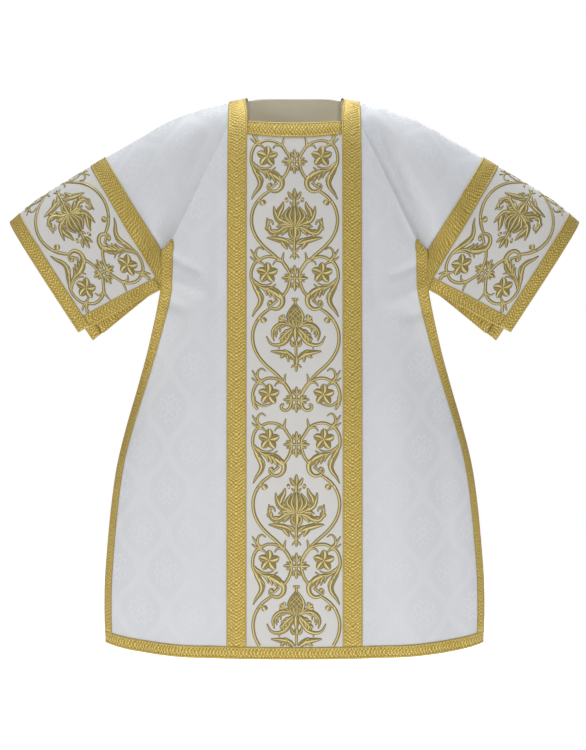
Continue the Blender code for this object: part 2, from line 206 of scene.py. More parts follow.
# Folds of the cloth in the outline plane.  Each row: start x, start z, end x,
# end z, half width, height (ridges +, troughs -), all in metres.
BODY_FOLDS = {
    "front": (
        (-0.1500, -0.250, -0.1560, -0.420, 0.016, -0.0065),
        (0.1500, -0.270, 0.1550, -0.400, 0.015, -0.0043),
        (-0.2440, -0.330, -0.1900, -0.360, 0.009, -0.0058),
        (-0.2520, -0.372, -0.1820, -0.396, 0.010, 0.0052),
        (-0.2600, -0.418, -0.2120, -0.432, 0.010, -0.0049),
        (0.2480, -0.345, 0.1960, -0.366, 0.010, -0.0046),
        (0.2550, -0.388, 0.1900, -0.420, 0.012, 0.0049),
        (0.2640, -0.436, 0.2200, -0.450, 0.010, -0.0041),
        (-0.1980, -0.500, -0.2180, -1.080, 0.034, 0.0087),
        (-0.2720, -0.620, -0.3060, -1.100, 0.026, -0.0072),
        (-0.1560, -0.560, -0.1620, -1.050, 0.018, -0.0041),
        (0.2050, -0.520, 0.2300, -1.090, 0.032, 0.0075),
        (0.2790, -0.600, 0.3180, -1.060, 0.025, -0.0067),
        (0.1570, -0.640, 0.1600, -1.100, 0.018, -0.0043),
        (0.2060, -0.225, 0.2300, -0.290, 0.014, -0.0038),
        (-0.2000, -0.205, -0.2300, -0.285, 0.015, -0.0043),
    ),
    "back": (
        (-0.1520, -0.230, -0.1600, -0.420, 0.018, -0.0058),
        (0.1500, -0.220, 0.1580, -0.390, 0.016, -0.0052),
        (-0.2480, -0.340, -0.1860, -0.372, 0.010, -0.0052),
        (0.2500, -0.352, 0.1940, -0.380, 0.011, -0.0049),
        (0.2560, -0.400, 0.2040, -0.428, 0.012, 0.0046),
        (-0.2100, -0.480, -0.2320, -1.090, 0.036, 0.0087),
        (-0.2860, -0.600, -0.3160, -1.090, 0.026, -0.0070),
        (0.1960, -0.520, 0.2160, -1.080, 0.034, 0.0081),
        (0.2740, -0.640, 0.3020, -1.100, 0.025, -0.0072),
        (-0.0300, -0.560, -0.0360, -1.060, 0.050, -0.0043),
    ),
}
SLEEVE_FOLDS = {
    "front": (
        (-0.1660, -0.085, -0.2640, -0.290, 0.026, -0.0150),
        (0.1720, -0.080, 0.2660, -0.285, 0.024, -0.0140),
        (-0.1480, -0.050, -0.2060, -0.180, 0.009, 0.0040),
        (0.1460, -0.045, 0.2200, -0.200, 0.008, 0.0062),
        (0.1620, -0.060, 0.2440, -0.215, 0.007, -0.0044),
        (0.1780, -0.050, 0.2620, -0.200, 0.010, 0.0040),
        (-0.2500, -0.100, -0.3200, -0.260, 0.022, 0.0045),
        (0.2600, -0.105, 0.3240, -0.255, 0.022, 0.0042),
        (-0.3000, -0.230, -0.2820, -0.310, 0.013, -0.0040),
        (0.3040, -0.220, 0.2840, -0.305, 0.013, -0.0036),
        (-0.5200, -0.260, -0.4300, -0.400, 0.030, 0.0028),
        (0.5160, -0.270, 0.4240, -0.410, 0.030, 0.0030),
    ),
    "back": (
        (-0.1700, -0.090, -0.2660, -0.280, 0.026, -0.0120),
        (0.1680, -0.095, 0.2680, -0.290, 0.026, -0.0130),
        (-0.1500, -0.070, -0.2160, -0.200, 0.010, 0.0044),
        (0.1520, -0.060, 0.2100, -0.190, 0.010, 0.0040),
        (-0.2560, -0.110, -0.3220, -0.250, 0.022, 0.0040),
        (0.2540, -0.120, 0.3260, -0.262, 0.022, 0.0044),
    ),
}

# How a fold dies away: how many half widths it reaches aside; then, as shares of its
# length, how far past its ends it is worked out, where it is gone, and its fading
FOLD_ASIDE = 3.0
FOLD_PAST = 0.4
FOLD_GONE = 0.35
FOLD_FADE = 0.5


def smooth(value):
    """Ease from 0 to 1."""
    value = min(max(value, 0.0), 1.0)
    return value * value * (3.0 - 2.0 * value)


def mix(first, second, share):
    return first + (second - first) * share


def slope_at(table, place):
    """Slope of a two-column table at one of its rows, for a rounded reading."""
    before = table[max(place - 1, 0)]
    after = table[min(place + 1, len(table) - 1)]
    return (after[1] - before[1]) / (after[0] - before[0])


def along(table, key, rounded=False):
    """Read a two-column table at a key, with straight or rounded runs."""
    if key <= table[0][0]:
        return table[0][1]
    for place in range(len(table) - 1):
        (low, first), (high, second) = table[place], table[place + 1]
        if key > high:
            continue
        span = high - low
        share = (key - low) / span
        if not rounded:
            return mix(first, second, share)
        rise = slope_at(table, place) * span
        fall = slope_at(table, place + 1) * span
        bend = share * (1.0 - share)
        lean = rise * (1.0 - share) - fall * share
        return mix(first, second, smooth(share)) + bend * lean
    return table[-1][1]


def top_height(x):
    """Height of the shoulder and sleeve top line."""
    return along(TOP_LINE, abs(x), rounded=True)


def half_width(drop):
    """Half width of a body panel at a drop below the shoulder line."""
    return along(SIDE_LINE, drop, rounded=drop > ARMPIT_DROP)


def nape_lift(x, drop):
    """How far the cloth behind the neck is carried up over the nape."""
    spread = math.exp(-((abs(x) / NAPE_HALF) ** NAPE_POWER))
    reach = drop / NAPE_DROP
    return NAPE_LIFT * spread * reach * math.exp(1.0 - reach)


def neck_shift(x, drop):
    """How the front neckline rises next to the clavi and sags between them."""
    foot = FRONT_NECK_DROP + NECK_GALLOON
    middle = FRONT_NECK_DROP + NECK_GALLOON * 0.5
    inside = 1.0 - smooth((abs(x) - NECK_HALF) / (CLAVUS_OUTER - NECK_HALF))
    dip = max(1.0 - (x / NECK_HALF) ** 2, 0.0)
    rise = NECK_RAISE * inside * math.exp(-(((drop - middle) / NECK_REACH) ** 2))
    return rise - NECK_SAG * dip * math.exp(-(((drop - foot) / NECK_REACH) ** 2))


def strap_lean(x, drop):
    """How far the neck edge of a strap leans away from the centre line."""
    away = abs(x)
    inner = min(away / NECK_HALF, 1.0) ** 2
    inner *= 1.0 - smooth((away - NECK_HALF) / (CLAVUS_OUTER - NECK_HALF))
    lean = STRAP_LEAN * inner * math.exp(-((drop / STRAP_LEAN_DROP) ** 2))
    return math.copysign(lean, x)


def fold_height(folds, x, z, strength):
    """Height of the soft ridges and troughs at a place in the outline plane."""
    total = 0.0
    for x0, z0, x1, z1, half, height in folds:
        run_x, run_z = x1 - x0, z1 - z0
        span = math.hypot(run_x, run_z)
        share = ((x - x0) * run_x + (z - z0) * run_z) / (span * span)
        aside = abs((x - x0) * run_z - (z - z0) * run_x) / span
        if aside > FOLD_ASIDE * half or not -FOLD_PAST < share < 1.0 + FOLD_PAST:
            continue
        fade = smooth((share + FOLD_GONE) / FOLD_FADE)
        fade *= smooth((1.0 + FOLD_GONE - share) / FOLD_FADE)
        total += height * fade * math.exp(-((aside / half) ** 2))
    return total * strength


def body_depth(face, x, z):
    """Distance of the body cloth from the plane of the shoulder line."""
    drop = max(top_height(x) - z, 0.0)
    bulge = math.exp(-((x / CHEST_SPREAD) ** 2))
    chest = mix(SHOULDER_DEPTH, CHEST_DEPTH[face], bulge)
    chest *= math.sqrt(1.0 - math.exp(-drop / SHOULDER_ROUNDING))
    share = abs(x) / (SIDE_CLOSING * half_width(-z))
    skirt = SKIRT_DEPTH[face] * math.sqrt(max(1.0 - share * share, 0.0))
    depth = mix(chest, skirt, smooth((-z - SKIRT_START) / SKIRT_BLEND))
    return depth + LEAN * drop


def placed(face, x, z, depth):
    """A point of the cloth from its face, outline place and depth."""
    if face == "front":
        return Vector((x, -depth, z))
    return Vector((x, depth, z + nape_lift(x, max(top_height(x) - z, 0.0))))


def body_point(face, x, drop, strength=0.0):
    """A point of the body cloth at a distance from the centre line and a drop."""
    z = top_height(x) * math.exp(-drop / SLOPE_REACH) - drop
    if face == "front":
        z += neck_shift(x, drop)
    corner = (abs(x) / half_width(LENGTH)) ** HEM_RISE_POWER
    z += HEM_RISE * corner * smooth((drop - HEM_RISE_START) / (LENGTH - HEM_RISE_START))
    depth = body_depth(face, x, z) + fold_height(BODY_FOLDS[face], x, z, strength)
    return placed(face, x + strap_lean(x, drop), z, depth)


def seam_drop(share):
    """The drop at the seam for a share of a sleeve line, from ridge to foot."""
    if share <= STRAP_SHARE:
        return FRONT_NECK_DROP * share / STRAP_SHARE
    reach = (share - STRAP_SHARE) / (1.0 - STRAP_SHARE)
    return mix(FRONT_NECK_DROP, SEAM_FOOT_DROP, reach)


# ---------------------------------------------------------------------------
# Nets of cloth points
# ---------------------------------------------------------------------------

NECK_COLUMN = 12
CLAVUS_COLUMN = 17
TRIM_COLUMN = 37
EDGE_COLUMN = 41
MIDDLE = EDGE_COLUMN

SIDE_TIP_DROP = 0.2900
BACK_NECK_SET = 0.60
SAME_PLACE = 0.0004
HEM_CELLS = 4

# Rows of the body net: drop that a stretch reaches, cells in it
BODY_STRETCHES = (
    (BACK_NECK_DROP, 7),
    (FRONT_NECK_DROP, 4),
    (FRONT_NECK_DROP + NECK_GALLOON, 4),
    (SIDE_TIP_DROP, 23),
    (SEAM_FOOT_DROP, 3),
    (BAND_INNER_DROP, 4),
    (ARMPIT_DROP, 10),
    (LENGTH - HEM_GALLOON, 74),
    (LENGTH, HEM_CELLS),
)

# Columns of the sleeve net: tuck under the panel, upper sleeve, band, cuff, trim
SEAM_COLUMN = 2
BAND_INNER_COLUMN = 28
BAND_OUTER_COLUMN = 33
CUFF_TRIM_COLUMN = 51
CUFF_EDGE_COLUMN = 55
TUCK = 0.0060
SEAM_BEND_REACH = 0.33
RECESS_REACH = 0.030
ARMPIT_BLEND = 0.075

# Rows of the sleeve net on each face, from the ridge to the lower edge
RIDGE_CELLS = 8
RIDGE_SHARE = 0.15
SLEEVE_MAIN_CELLS = 26
SLEEVE_TRIM_CELLS = 4
SLEEVE_TRIM_ROW = RIDGE_CELLS + SLEEVE_MAIN_CELLS
SLEEVE_LAST_ROW = SLEEVE_TRIM_ROW + SLEEVE_TRIM_CELLS
TRIM_EASE_COLUMNS = 8


def body_drops():
    """Drops of the body net's rows, closer together next to the shoulder line."""
    drops = [0.0]
    for reached, cells in BODY_STRETCHES:
        start = drops[-1]
        for cell in range(1, cells + 1):
            share = cell / cells
            if start == 0.0:
                share *= share
            drops.append(mix(start, reached, share))
    return drops


BODY_DROPS = body_drops()
RIDGE_ROW = len(BODY_DROPS) - 1


def body_row(face, drop):
    """Row of the body net at a drop, front or back, with a part for places between."""
    table = [(value, row) for row, value in enumerate(BODY_DROPS)]
    row = along(table, drop)
    return RIDGE_ROW - row if face == "front" else RIDGE_ROW + row


class Net:
    """Rows and columns of cloth points with their outward normals."""

    def __init__(self, points):
        self.points = points
        self.rows = len(points)
        self.columns = len(points[0])
        self.normals = [
            [self.normal_at(row, column) for column in range(self.columns)]
            for row in range(self.rows)
        ]

    def neighbour(self, row, column, step_row, step_column):
        """The nearest point in one direction that isn't the same place."""
        here = self.points[row][column]
        found = here
        row += step_row
        column += step_column
        while 0 <= row < self.rows and 0 <= column < self.columns:
            found = self.points[row][column]
            if (found - here).length > SAME_PLACE:
                break
            row += step_row
            column += step_column
        return found

    def normal_at(self, row, column):
        across = self.neighbour(row, column, 0, 1) - self.neighbour(row, column, 0, -1)
        up = self.neighbour(row, column, 1, 0) - self.neighbour(row, column, -1, 0)
        return across.cross(up).normalized()

    def between(self, grid, row, column):
        """Read the points or the normals between their rows and columns."""
        row = min(max(row, 0.0), self.rows - 1.0)
        column = min(max(column, 0.0), self.columns - 1.0)
        low = min(int(row), self.rows - 2)
        left = min(int(column), self.columns - 2)
        up, aside = row - low, column - left
        first = grid[low][left].lerp(grid[low][left + 1], aside)
        second = grid[low + 1][left].lerp(grid[low + 1][left + 1], aside)
        return first.lerp(second, up)

    def lifted(self, row, column, height):
        """A point moved out from the cloth's face by a height."""
        point = self.between(self.points, row, column)
        return point + self.between(self.normals, row, column).normalized() * height

    def block(self, rows, columns, height):
        return [[self.lifted(row, column, height) for column in columns] for row in rows]

    def edge_way(self, inner, edge):
        """Direction in the cloth from a place to the free edge next to it."""
        start = self.between(self.points, *inner)
        return (self.between(self.points, *edge) - start).normalized()


def side_trim(drop):
    """Width of the side galloon, which starts as a point at the foot of the seam."""
    point = min(max((drop - SIDE_TIP_DROP) / SIDE_TIP, 0.0), 1.0)
    return along(SIDE_GALLOON, drop) * point


def column_x(column, drop):
    """Signed distance of a body column from the centre line."""
    edge = max(half_width(drop), CLAVUS_OUTER)
    trim = max(edge - side_trim(drop), CLAVUS_OUTER)
    stops = (
        (0, 0.0),
        (NECK_COLUMN, NECK_HALF),
        (CLAVUS_COLUMN, CLAVUS_OUTER),
        (TRIM_COLUMN, trim),
        (EDGE_COLUMN, edge),
    )
    return math.copysign(along(stops, abs(column)), column)


@functools.lru_cache(maxsize=None)
def body_net(strength):
    """Front hem, over the shoulders, to back hem; middle column on the centre line."""

    def line(face, drop):
        return [
            body_point(face, column_x(column, drop), drop, strength)
            for column in range(-EDGE_COLUMN, EDGE_COLUMN + 1)
        ]

    front = [line("front", drop) for drop in reversed(BODY_DROPS)]
    back = [line("back", drop) for drop in BODY_DROPS[1:]]
    return Net(front + back)


def sleeve_ends(face, column):
    """Top and foot of a sleeve column in the outline plane."""
    armpit_drop = ARMPIT_DROP if face == "front" else BACK_ARMPIT_DROP
    armpit = Vector((ARMPIT_X + ARMPIT_ROOM, -armpit_drop))
    band_foot = Vector((ARMPIT_X + ARMPIT_ROOM, -BAND_INNER_DROP))
    band_top = Vector((BAND_OUTER_TOP, top_height(BAND_OUTER_TOP)))
    cuff_top = Vector(CUFF_TOP)
    cuff_foot = Vector(CUFF_FOOT[face])
    if column <= BAND_INNER_COLUMN:
        share = (column - SEAM_COLUMN) / (BAND_INNER_COLUMN - SEAM_COLUMN)
        top_x = mix(CLAVUS_OUTER, BAND_INNER_TOP, share)
        foot = Vector((SEAM_FOOT_X, -SEAM_FOOT_DROP)).lerp(band_foot, share)
        return Vector((top_x, top_height(top_x))), foot
    if column <= BAND_OUTER_COLUMN:
        share = (column - BAND_INNER_COLUMN) / (BAND_OUTER_COLUMN - BAND_INNER_COLUMN)
        top_x = mix(BAND_INNER_TOP, BAND_OUTER_TOP, share)
        return Vector((top_x, top_height(top_x))), band_foot.lerp(armpit, share)
    trims = []
    for start, end in ((band_top, cuff_top), (armpit, cuff_foot)):
        trim = 1.0 - EDGE_GALLOON / (end - start).length
        stops = ((BAND_OUTER_COLUMN, 0.0), (CUFF_TRIM_COLUMN, trim), (CUFF_EDGE_COLUMN, 1.0))
        trims.append(start.lerp(end, along(stops, column)))
    top, foot = trims
    return Vector((top.x, top_height(top.x))), foot


def sleeve_row_share(row, column, length):
    """How far down a sleeve column a row lies, from ridge to lower edge."""
    if row <= RIDGE_CELLS:
        return RIDGE_SHARE * (row / RIDGE_CELLS) ** 2
    even = mix(RIDGE_SHARE, 1.0, (row - RIDGE_CELLS) / (SLEEVE_LAST_ROW - RIDGE_CELLS))
    stops = (
        (RIDGE_CELLS, RIDGE_SHARE),
        (SLEEVE_TRIM_ROW, 1.0 - EDGE_GALLOON / length),
        (SLEEVE_LAST_ROW, 1.0),
    )
    start = BAND_INNER_COLUMN - TRIM_EASE_COLUMNS
    return mix(even, along(stops, row), smooth((column - start) / TRIM_EASE_COLUMNS))


def sleeve_point(side, face, column, row, strength):
    """A point of a sleeve net; side is -1 for the left sleeve and 1 for the right."""
    top, foot = sleeve_ends(face, max(column, SEAM_COLUMN))
    length = (top - foot).length
    share = sleeve_row_share(row, column, length)
    drop = seam_drop(share)
    seam_x = max(half_width(drop), CLAVUS_OUTER)
    if column < SEAM_COLUMN:
        tucked = seam_x - TUCK * (SEAM_COLUMN - column) / SEAM_COLUMN
        return body_point(face, side * tucked, drop, strength)
    seam = body_point(face, side * seam_x, drop, strength)
    if column == SEAM_COLUMN:
        return seam
    place = top.lerp(foot, share)
    if column < BAND_INNER_COLUMN:
        seam_top, seam_foot = sleeve_ends(face, SEAM_COLUMN)
        straight = seam_top.lerp(seam_foot, share)
        out = (column - SEAM_COLUMN) / (BAND_INNER_COLUMN - SEAM_COLUMN)
        lift = nape_lift(seam.x, max(top_height(seam.x) - seam.z, 0.0)) if face == "back" else 0.0
        bend = Vector((abs(seam.x), seam.z - lift)) - straight
        place += bend * (1.0 - smooth(out / SEAM_BEND_REACH))
    x, z = side * place.x, place.y
    reach = share * length
    own = SLEEVE_DEPTH[face] * math.sqrt(1.0 - math.exp(-reach / SLEEVE_ROUNDING[face]))
    own += SLEEVE_LEAN[face] * reach
    away = math.hypot(place.x - abs(seam.x), z - seam.z) / SLEEVE_BLEND
    armpit_drop = ARMPIT_DROP if face == "front" else BACK_ARMPIT_DROP
    level = min(max(-z, BAND_INNER_DROP), armpit_drop)
    corner = math.hypot(place.x - ARMPIT_X, -z - level) / ARMPIT_BLEND
    depth = mix(body_depth(face, x, z), own, smooth(min(away, corner)))
    depth += fold_height(SLEEVE_FOLDS[face], x, z, strength)
    return placed(face, x, z, depth)


@functools.lru_cache(maxsize=None)
def sleeve_net(side, strength):
    """Front lower edge, over the arm, to back lower edge; columns run towards +X."""
    columns = range(CUFF_EDGE_COLUMN + 1)
    rows = range(SLEEVE_LAST_ROW, -1, -1)
    points = [
        [sleeve_point(side, "front", column, row, strength) for column in columns]
        for row in rows
    ]
    points += [
        [sleeve_point(side, "back", column, row, strength) for column in columns]
        for row in range(1, SLEEVE_LAST_ROW + 1)
    ]
    if side < 0:
        points = [line[::-1] for line in points]
    net = Net(points)
    seam_place = sleeve_column(side, SEAM_COLUMN)
    for row, line in enumerate(points):
        seam = line[seam_place].copy()
        for column, point in enumerate(line):
            away = (point - seam).length
            if (column - seam_place) * side < 0:
                away = 0.0
            near = math.exp(-((away / RECESS_REACH) ** 2))
            line[column] = point - net.normals[row][column] * (SEAM_RECESS * near)
    return net


def sleeve_column(side, column):
    """Where a column counted from the seam lies in a sleeve net."""
    return column if side > 0 else CUFF_EDGE_COLUMN - column


# ---------------------------------------------------------------------------
# Sewn pieces
# ---------------------------------------------------------------------------

UV_NAME = "UVMap"

# Across a galloon: distance in from its edge, height; a corded edge and a flat ground
CORDED_EDGE = (
    (0.0000, 0.00000),
    (0.0006, 0.00042),
    (0.0015, 0.00060),
    (0.0024, 0.00042),
    (0.0032, 0.00000),
    (0.0044, 0.00014),
)
GROUND_RISE = 0.00020
FOLD_STEPS = 4
FOLD_BULGE = 0.0007
INNER_LEG = (1.0, 0.62, 0.30, 0.0)

# Turn of the neck facing over the cloth's edge: share of the way in, distance past it
FACING_TURN = ((0.0, -0.0030), (0.0, 0.0004), (0.5, 0.0012), (1.0, 0.0004))


def flat_sizes(grid, origin):
    """Cloth coordinates of a grid: distance across from a column, distance along it."""
    travelled = 0.0
    flats = []
    for row, line in enumerate(grid):
        if row:
            travelled += (line[origin] - grid[row - 1][origin]).length
        across = [0.0] * len(line)
        for column in range(origin + 1, len(line)):
            across[column] = across[column - 1] + (line[column] - line[column - 1]).length
        for column in range(origin - 1, -1, -1):
            across[column] = across[column + 1] - (line[column] - line[column + 1]).length
        flats.append([(place, travelled) for place in across])
    return flats


def new_piece(name, mesh, node_names):
    """Put a finished mesh in the scene as a piece of the garment."""
    piece = bpy.data.objects.new(name, mesh)
    bpy.context.scene.collection.objects.link(piece)
    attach(piece, BODY)
    if node_names:
        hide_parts(*node_names)
    return piece


def sew(name, node, grid, flats, thickness, side, finishes, missing=None):
    """A sewn piece: an open grid of cloth, thickened out (side 1) or in (side -1)."""
    rows = len(grid)
    columns = len(grid[0])
    mesh_data = bmesh.new()
    bmesh.ops.create_grid(mesh_data, x_segments=columns - 1, y_segments=rows - 1, size=1.0)
    mesh_data.verts.ensure_lookup_table()
    mesh_data.faces.ensure_lookup_table()
    uv_layer = mesh_data.loops.layers.uv.new(UV_NAME)
    for row, line in enumerate(grid):
        for column, point in enumerate(line):
            mesh_data.verts[row * columns + column].co = point
    for face in mesh_data.faces:
        face.smooth = True
        for loop in face.loops:
            row, column = divmod(loop.vert.index, columns)
            loop[uv_layer].uv = flats[row][column]
    if missing:
        gone = [
            face
            for face in mesh_data.faces
            if missing(face.index // (columns - 1), face.index % (columns - 1))
        ]
        bmesh.ops.delete(mesh_data, geom=gone, context="FACES")
    bmesh.ops.remove_doubles(mesh_data, verts=mesh_data.verts, dist=WELD)
    mesh = bpy.data.meshes.new(name)
    mesh_data.to_mesh(mesh)
    mesh_data.free()
    for finish in finishes:
        mesh.materials.append(finish)
    piece = new_piece(name, mesh, [node])
    wall = piece.modifiers.new("wall", "SOLIDIFY")
    wall.thickness = thickness
    wall.offset = side
    if len(finishes) > 1:
        wall.material_offset = 1
    return piece


def galloon_profile(width):
    """Across a galloon, from edge to edge: distance, height."""
    near = list(CORDED_EDGE)
    far = [(width - place, height) for place, height in reversed(near)]
    return near + [(width * 0.5, GROUND_RISE)] + far


def edge_distance(place, width):
    """Distance to the nearer edge, which the weave follows."""
    return min(place, width - place)


class Strip:
    """A strip of a net between two of its columns or, crosswise, two of its rows."""

    def __init__(self, net, first, last, crosswise=False):
        self.net = net
        self.first = first
        self.last = last
        self.crosswise = crosswise

    def spot(self, step, share, lift):
        """The place at a step along the strip, a share across it and a height."""
        aside = mix(self.first, self.last, share)
        if self.crosswise:
            return self.net.lifted(aside, step, lift)
        return self.net.lifted(step, aside, lift)

    def outward(self, step):
        """Direction in the cloth from the strip's first side to its last."""
        if self.crosswise:
            return self.net.edge_way((self.first, step), (self.last, step))
        return self.net.edge_way((step, self.first), (step, self.last))

    def travel(self, steps):
        """Distance walked along the middle of the strip at each of its steps."""
        places = [self.spot(step, 0.5, 0.0) for step in steps]
        walked = [0.0]
        for before, place in zip(places, places[1:]):
            walked.append(walked[-1] + (place - before).length)
        return walked


def flat_galloon(strip, steps, width, base):
    """Grid and cloth coordinates of a galloon sewn flat, its underside at base(share)."""
    profile = galloon_profile(width)
    walked = strip.travel(steps)
    grid, flats = [], []
    for step, gone in zip(steps, walked):
        line = []
        for place, height in profile:
            share = place / width
            line.append(strip.spot(step, share, base(share) + height))
        grid.append(line)
        flats.append([(edge_distance(place, width), gone) for place, _height in profile])
    return grid, flats


def folded_galloon(strip, steps, width, base):
    """Grid and cloth coordinates of a galloon folded round the strip's last side."""
    walked = strip.travel(steps)
    grid, flats = [], []
    for step, gone in zip(steps, walked):
        way = strip.outward(step)
        top = base(step)
        line, flat = [], []
        for place, height in galloon_profile(width):
            share = place / width
            out = way * (FOLD_ROOM * share ** FOLD_ROOM_POWER)
            line.append(strip.spot(step, share, top + height) + out)
            flat.append((edge_distance(place, width), gone))
        for turn in range(1, FOLD_STEPS):
            angle = math.pi * turn / FOLD_STEPS
            lift = mix(top, UNDER_CLOTH, turn / FOLD_STEPS)
            bulge = FOLD_ROOM + FOLD_BULGE * math.sin(angle)
            line.append(strip.spot(step, 1.0, lift) + way * bulge)
            flat.append((0.0, gone))
        for share in INNER_LEG:
            out = way * (FOLD_ROOM * share ** FOLD_ROOM_POWER)
            line.append(strip.spot(step, share, UNDER_CLOTH) + out)
            flat.append((edge_distance(share * width, width), gone))
        grid.append(line)
        flats.append(flat)
    return grid, flats


def transposed(grid):
    return [list(line) for line in zip(*grid)]


def turned_over(grid):
    return [line[::-1] for line in grid]


def narrowed(rows, gap_first, gap_last):
    """Row numbers with the ends moved in, to butt against a neighbour."""
    rows = list(rows)
    rows[0] += gap_first
    rows[-1] -= gap_last
    return rows


def sew_galloon(name, node, strip, made, finish):
    """Sew a galloon made on a strip, with its face outwards whichever way it runs."""
    grid, flats = made
    if strip.last < strip.first:
        grid, flats = turned_over(grid), turned_over(flats)
    if strip.crosswise:
        grid, flats = transposed(grid), transposed(flats)
    return sew(name, node, grid, flats, GALLOON_CLOTH, 1, [finish])


def sew_panel(face, strength, finishes):
    """One body panel with its neck notch and shoulder straps."""
    body = body_net(strength)
    neck = FRONT_NECK_DROP if face == "front" else BACK_NECK_DROP
    if face == "front":
        rows = narrowed(range(RIDGE_ROW + 1), 0.0, PANEL_GAP)
        drops = BODY_DROPS[::-1]
    else:
        rows = narrowed(range(RIDGE_ROW, body.rows), PANEL_GAP, 0.0)
        drops = BODY_DROPS
    grid = body.block(rows, range(body.columns), 0.0)

    def missing(row, column):
        low = max(drops[row], drops[row + 1]) - WELD
        away = max(MIDDLE - column, column + 1 - MIDDLE)
        if away <= NECK_COLUMN:
            return low <= neck
        return away > CLAVUS_COLUMN and low <= FRONT_NECK_DROP

    flats = flat_sizes(grid, MIDDLE)
    return sew(
        face + "_panel_cloth", face + "_panel",
        grid, flats, CLOTH, -1, finishes, missing,
    )


def sew_orphrey(face, strength, finish):
    """The ivory column from the neck to the hem, its sides under the clavi."""
    body = body_net(strength)
    reach = NECK_COLUMN + ORPHREY_TUCK
    columns = [MIDDLE - reach]
    columns += range(MIDDLE - NECK_COLUMN, MIDDLE + NECK_COLUMN + 1)
    columns.append(MIDDLE + reach)
    if face == "front":
        rows = range(0, round(body_row(face, FRONT_NECK_DROP)) + 1)
    else:
        rows = range(round(body_row(face, BACK_NECK_DROP)), body.rows)
    grid = body.block(rows, columns, ON_CLOTH)
    flats = flat_sizes(grid, len(columns) // 2)
    return sew(
        "orphrey_" + face + "_cloth", "orphrey_" + face,
        grid, flats, ORPHREY_CLOTH, 1, [finish],
    )


def sew_clavus(side, word, strength, finish):
    """A wide galloon from the front hem over the shoulder to the back hem."""
    body = body_net(strength)
    inner = NECK_COLUMN - CLAVUS_REACH
    ends = sorted(MIDDLE + side * place for place in (inner, CLAVUS_COLUMN))
    tuck_share = (ORPHREY_TUCK + CLAVUS_REACH) / (CLAVUS_COLUMN - inner)
    width = CLAVUS_OUTER - NECK_HALF * inner / NECK_COLUMN
    strip = Strip(body, *ends)

    def base(share):
        out = share if side > 0 else 1.0 - share
        step_down = smooth((out - tuck_share) / (1.0 - tuck_share) * 2.0)
        return mix(ON_ORPHREY, ON_CLOTH, step_down)

    rows = narrowed(range(HEM_CELLS, body.rows - HEM_CELLS), CLAVUS_GAP, CLAVUS_GAP)
    made = flat_galloon(strip, rows, width, base)
    return sew_galloon("clavus_" + word + "_galloon", "clavus_" + word, strip, made, finish)


def sew_neck(face, strength, finish):
    """The galloon along the front or back neckline, between the clavi."""
    body = body_net(strength)
    drop = FRONT_NECK_DROP if face == "front" else BACK_NECK_DROP
    first = body_row(face, drop)
    second = body_row(face, drop + NECK_GALLOON)
    if face == "back":
        first += BACK_NECK_SET
        second += BACK_NECK_SET
    strip = Strip(body, *sorted((first, second)), crosswise=True)
    columns = range(MIDDLE - NECK_COLUMN, MIDDLE + NECK_COLUMN + 1)
    columns = narrowed(columns, CLAVUS_REACH + NECK_GAP, CLAVUS_REACH + NECK_GAP)
    made = flat_galloon(strip, columns, NECK_GALLOON, lambda share: ON_ORPHREY)
    name = "neck_" + face + "_galloon"
    return sew_galloon(name, "neck_galloon_" + face, strip, made, finish)


def sew_facing(strength, finish):
    """The facing inside the back of the neck."""
    body = body_net(strength)
    columns = range(MIDDLE - NECK_COLUMN, MIDDLE + NECK_COLUMN + 1)
    edge = body_row("back", BACK_NECK_DROP)
    stop = body_row("back", SEAM_FOOT_DROP * FACING_REACH)
    rows = [mix(edge, stop, step / FACING_ROWS) for step in range(1, FACING_ROWS + 1)]
    grid = []
    for share, past in FACING_TURN:
        line = []
        for column in columns:
            way = body.edge_way((edge + 1, column), (edge, column))
            lift = mix(ON_CLOTH, UNDER_CLOTH, share)
            line.append(body.lifted(edge, column, lift) + way * past)
        grid.append(line)
    grid += body.block(rows, columns, UNDER_CLOTH)
    flats = flat_sizes(grid, len(grid[0]) // 2)
    return sew(
        "neck_facing_cloth", "neck_facing_back",
        grid, flats, ORPHREY_CLOTH, -1, [finish],
    )


def sew_hem(face, strength, finish):
    """The galloon folded round the hem, passing over the ends of the clavi."""
    body = body_net(strength)
    last = body.rows - 1
    ends = (HEM_CELLS, 0) if face == "front" else (last - HEM_CELLS, last)
    strip = Strip(body, *ends, crosswise=True)

    def base(column):
        away = abs(column - MIDDLE)
        reach = NECK_COLUMN + ORPHREY_TUCK
        return mix(ON_ORPHREY, ON_CLOTH, smooth((away - reach) / (CLAVUS_COLUMN - reach)))

    made = folded_galloon(strip, range(body.columns), HEM_GALLOON, base)
    return sew_galloon("hem_" + face + "_galloon", "hem_galloon_" + face, strip, made, finish)


def sew_side(face, side, word, strength, finish):
    """A galloon folded round an open side, pointed at the foot of the sleeve seam."""
    body = body_net(strength)
    strip = Strip(body, MIDDLE + side * TRIM_COLUMN, MIDDLE + side * EDGE_COLUMN)
    tip = body_row(face, SIDE_TIP_DROP + SIDE_TIP_SET)
    if face == "front":
        rows = [HEM_CELLS + SIDE_GAP] + list(range(HEM_CELLS + 1, int(tip) + 1)) + [tip]
    else:
        foot = body.rows - 1 - HEM_CELLS
        rows = [tip] + list(range(int(tip) + 1, foot)) + [foot - SIDE_GAP]
    made = folded_galloon(strip, rows, EDGE_GALLOON, lambda row: ON_CLOTH)
    name = "side_" + face + "_" + word + "_galloon"
    node = "side_galloon_" + face + "_" + word
    return sew_galloon(name, node, strip, made, finish)


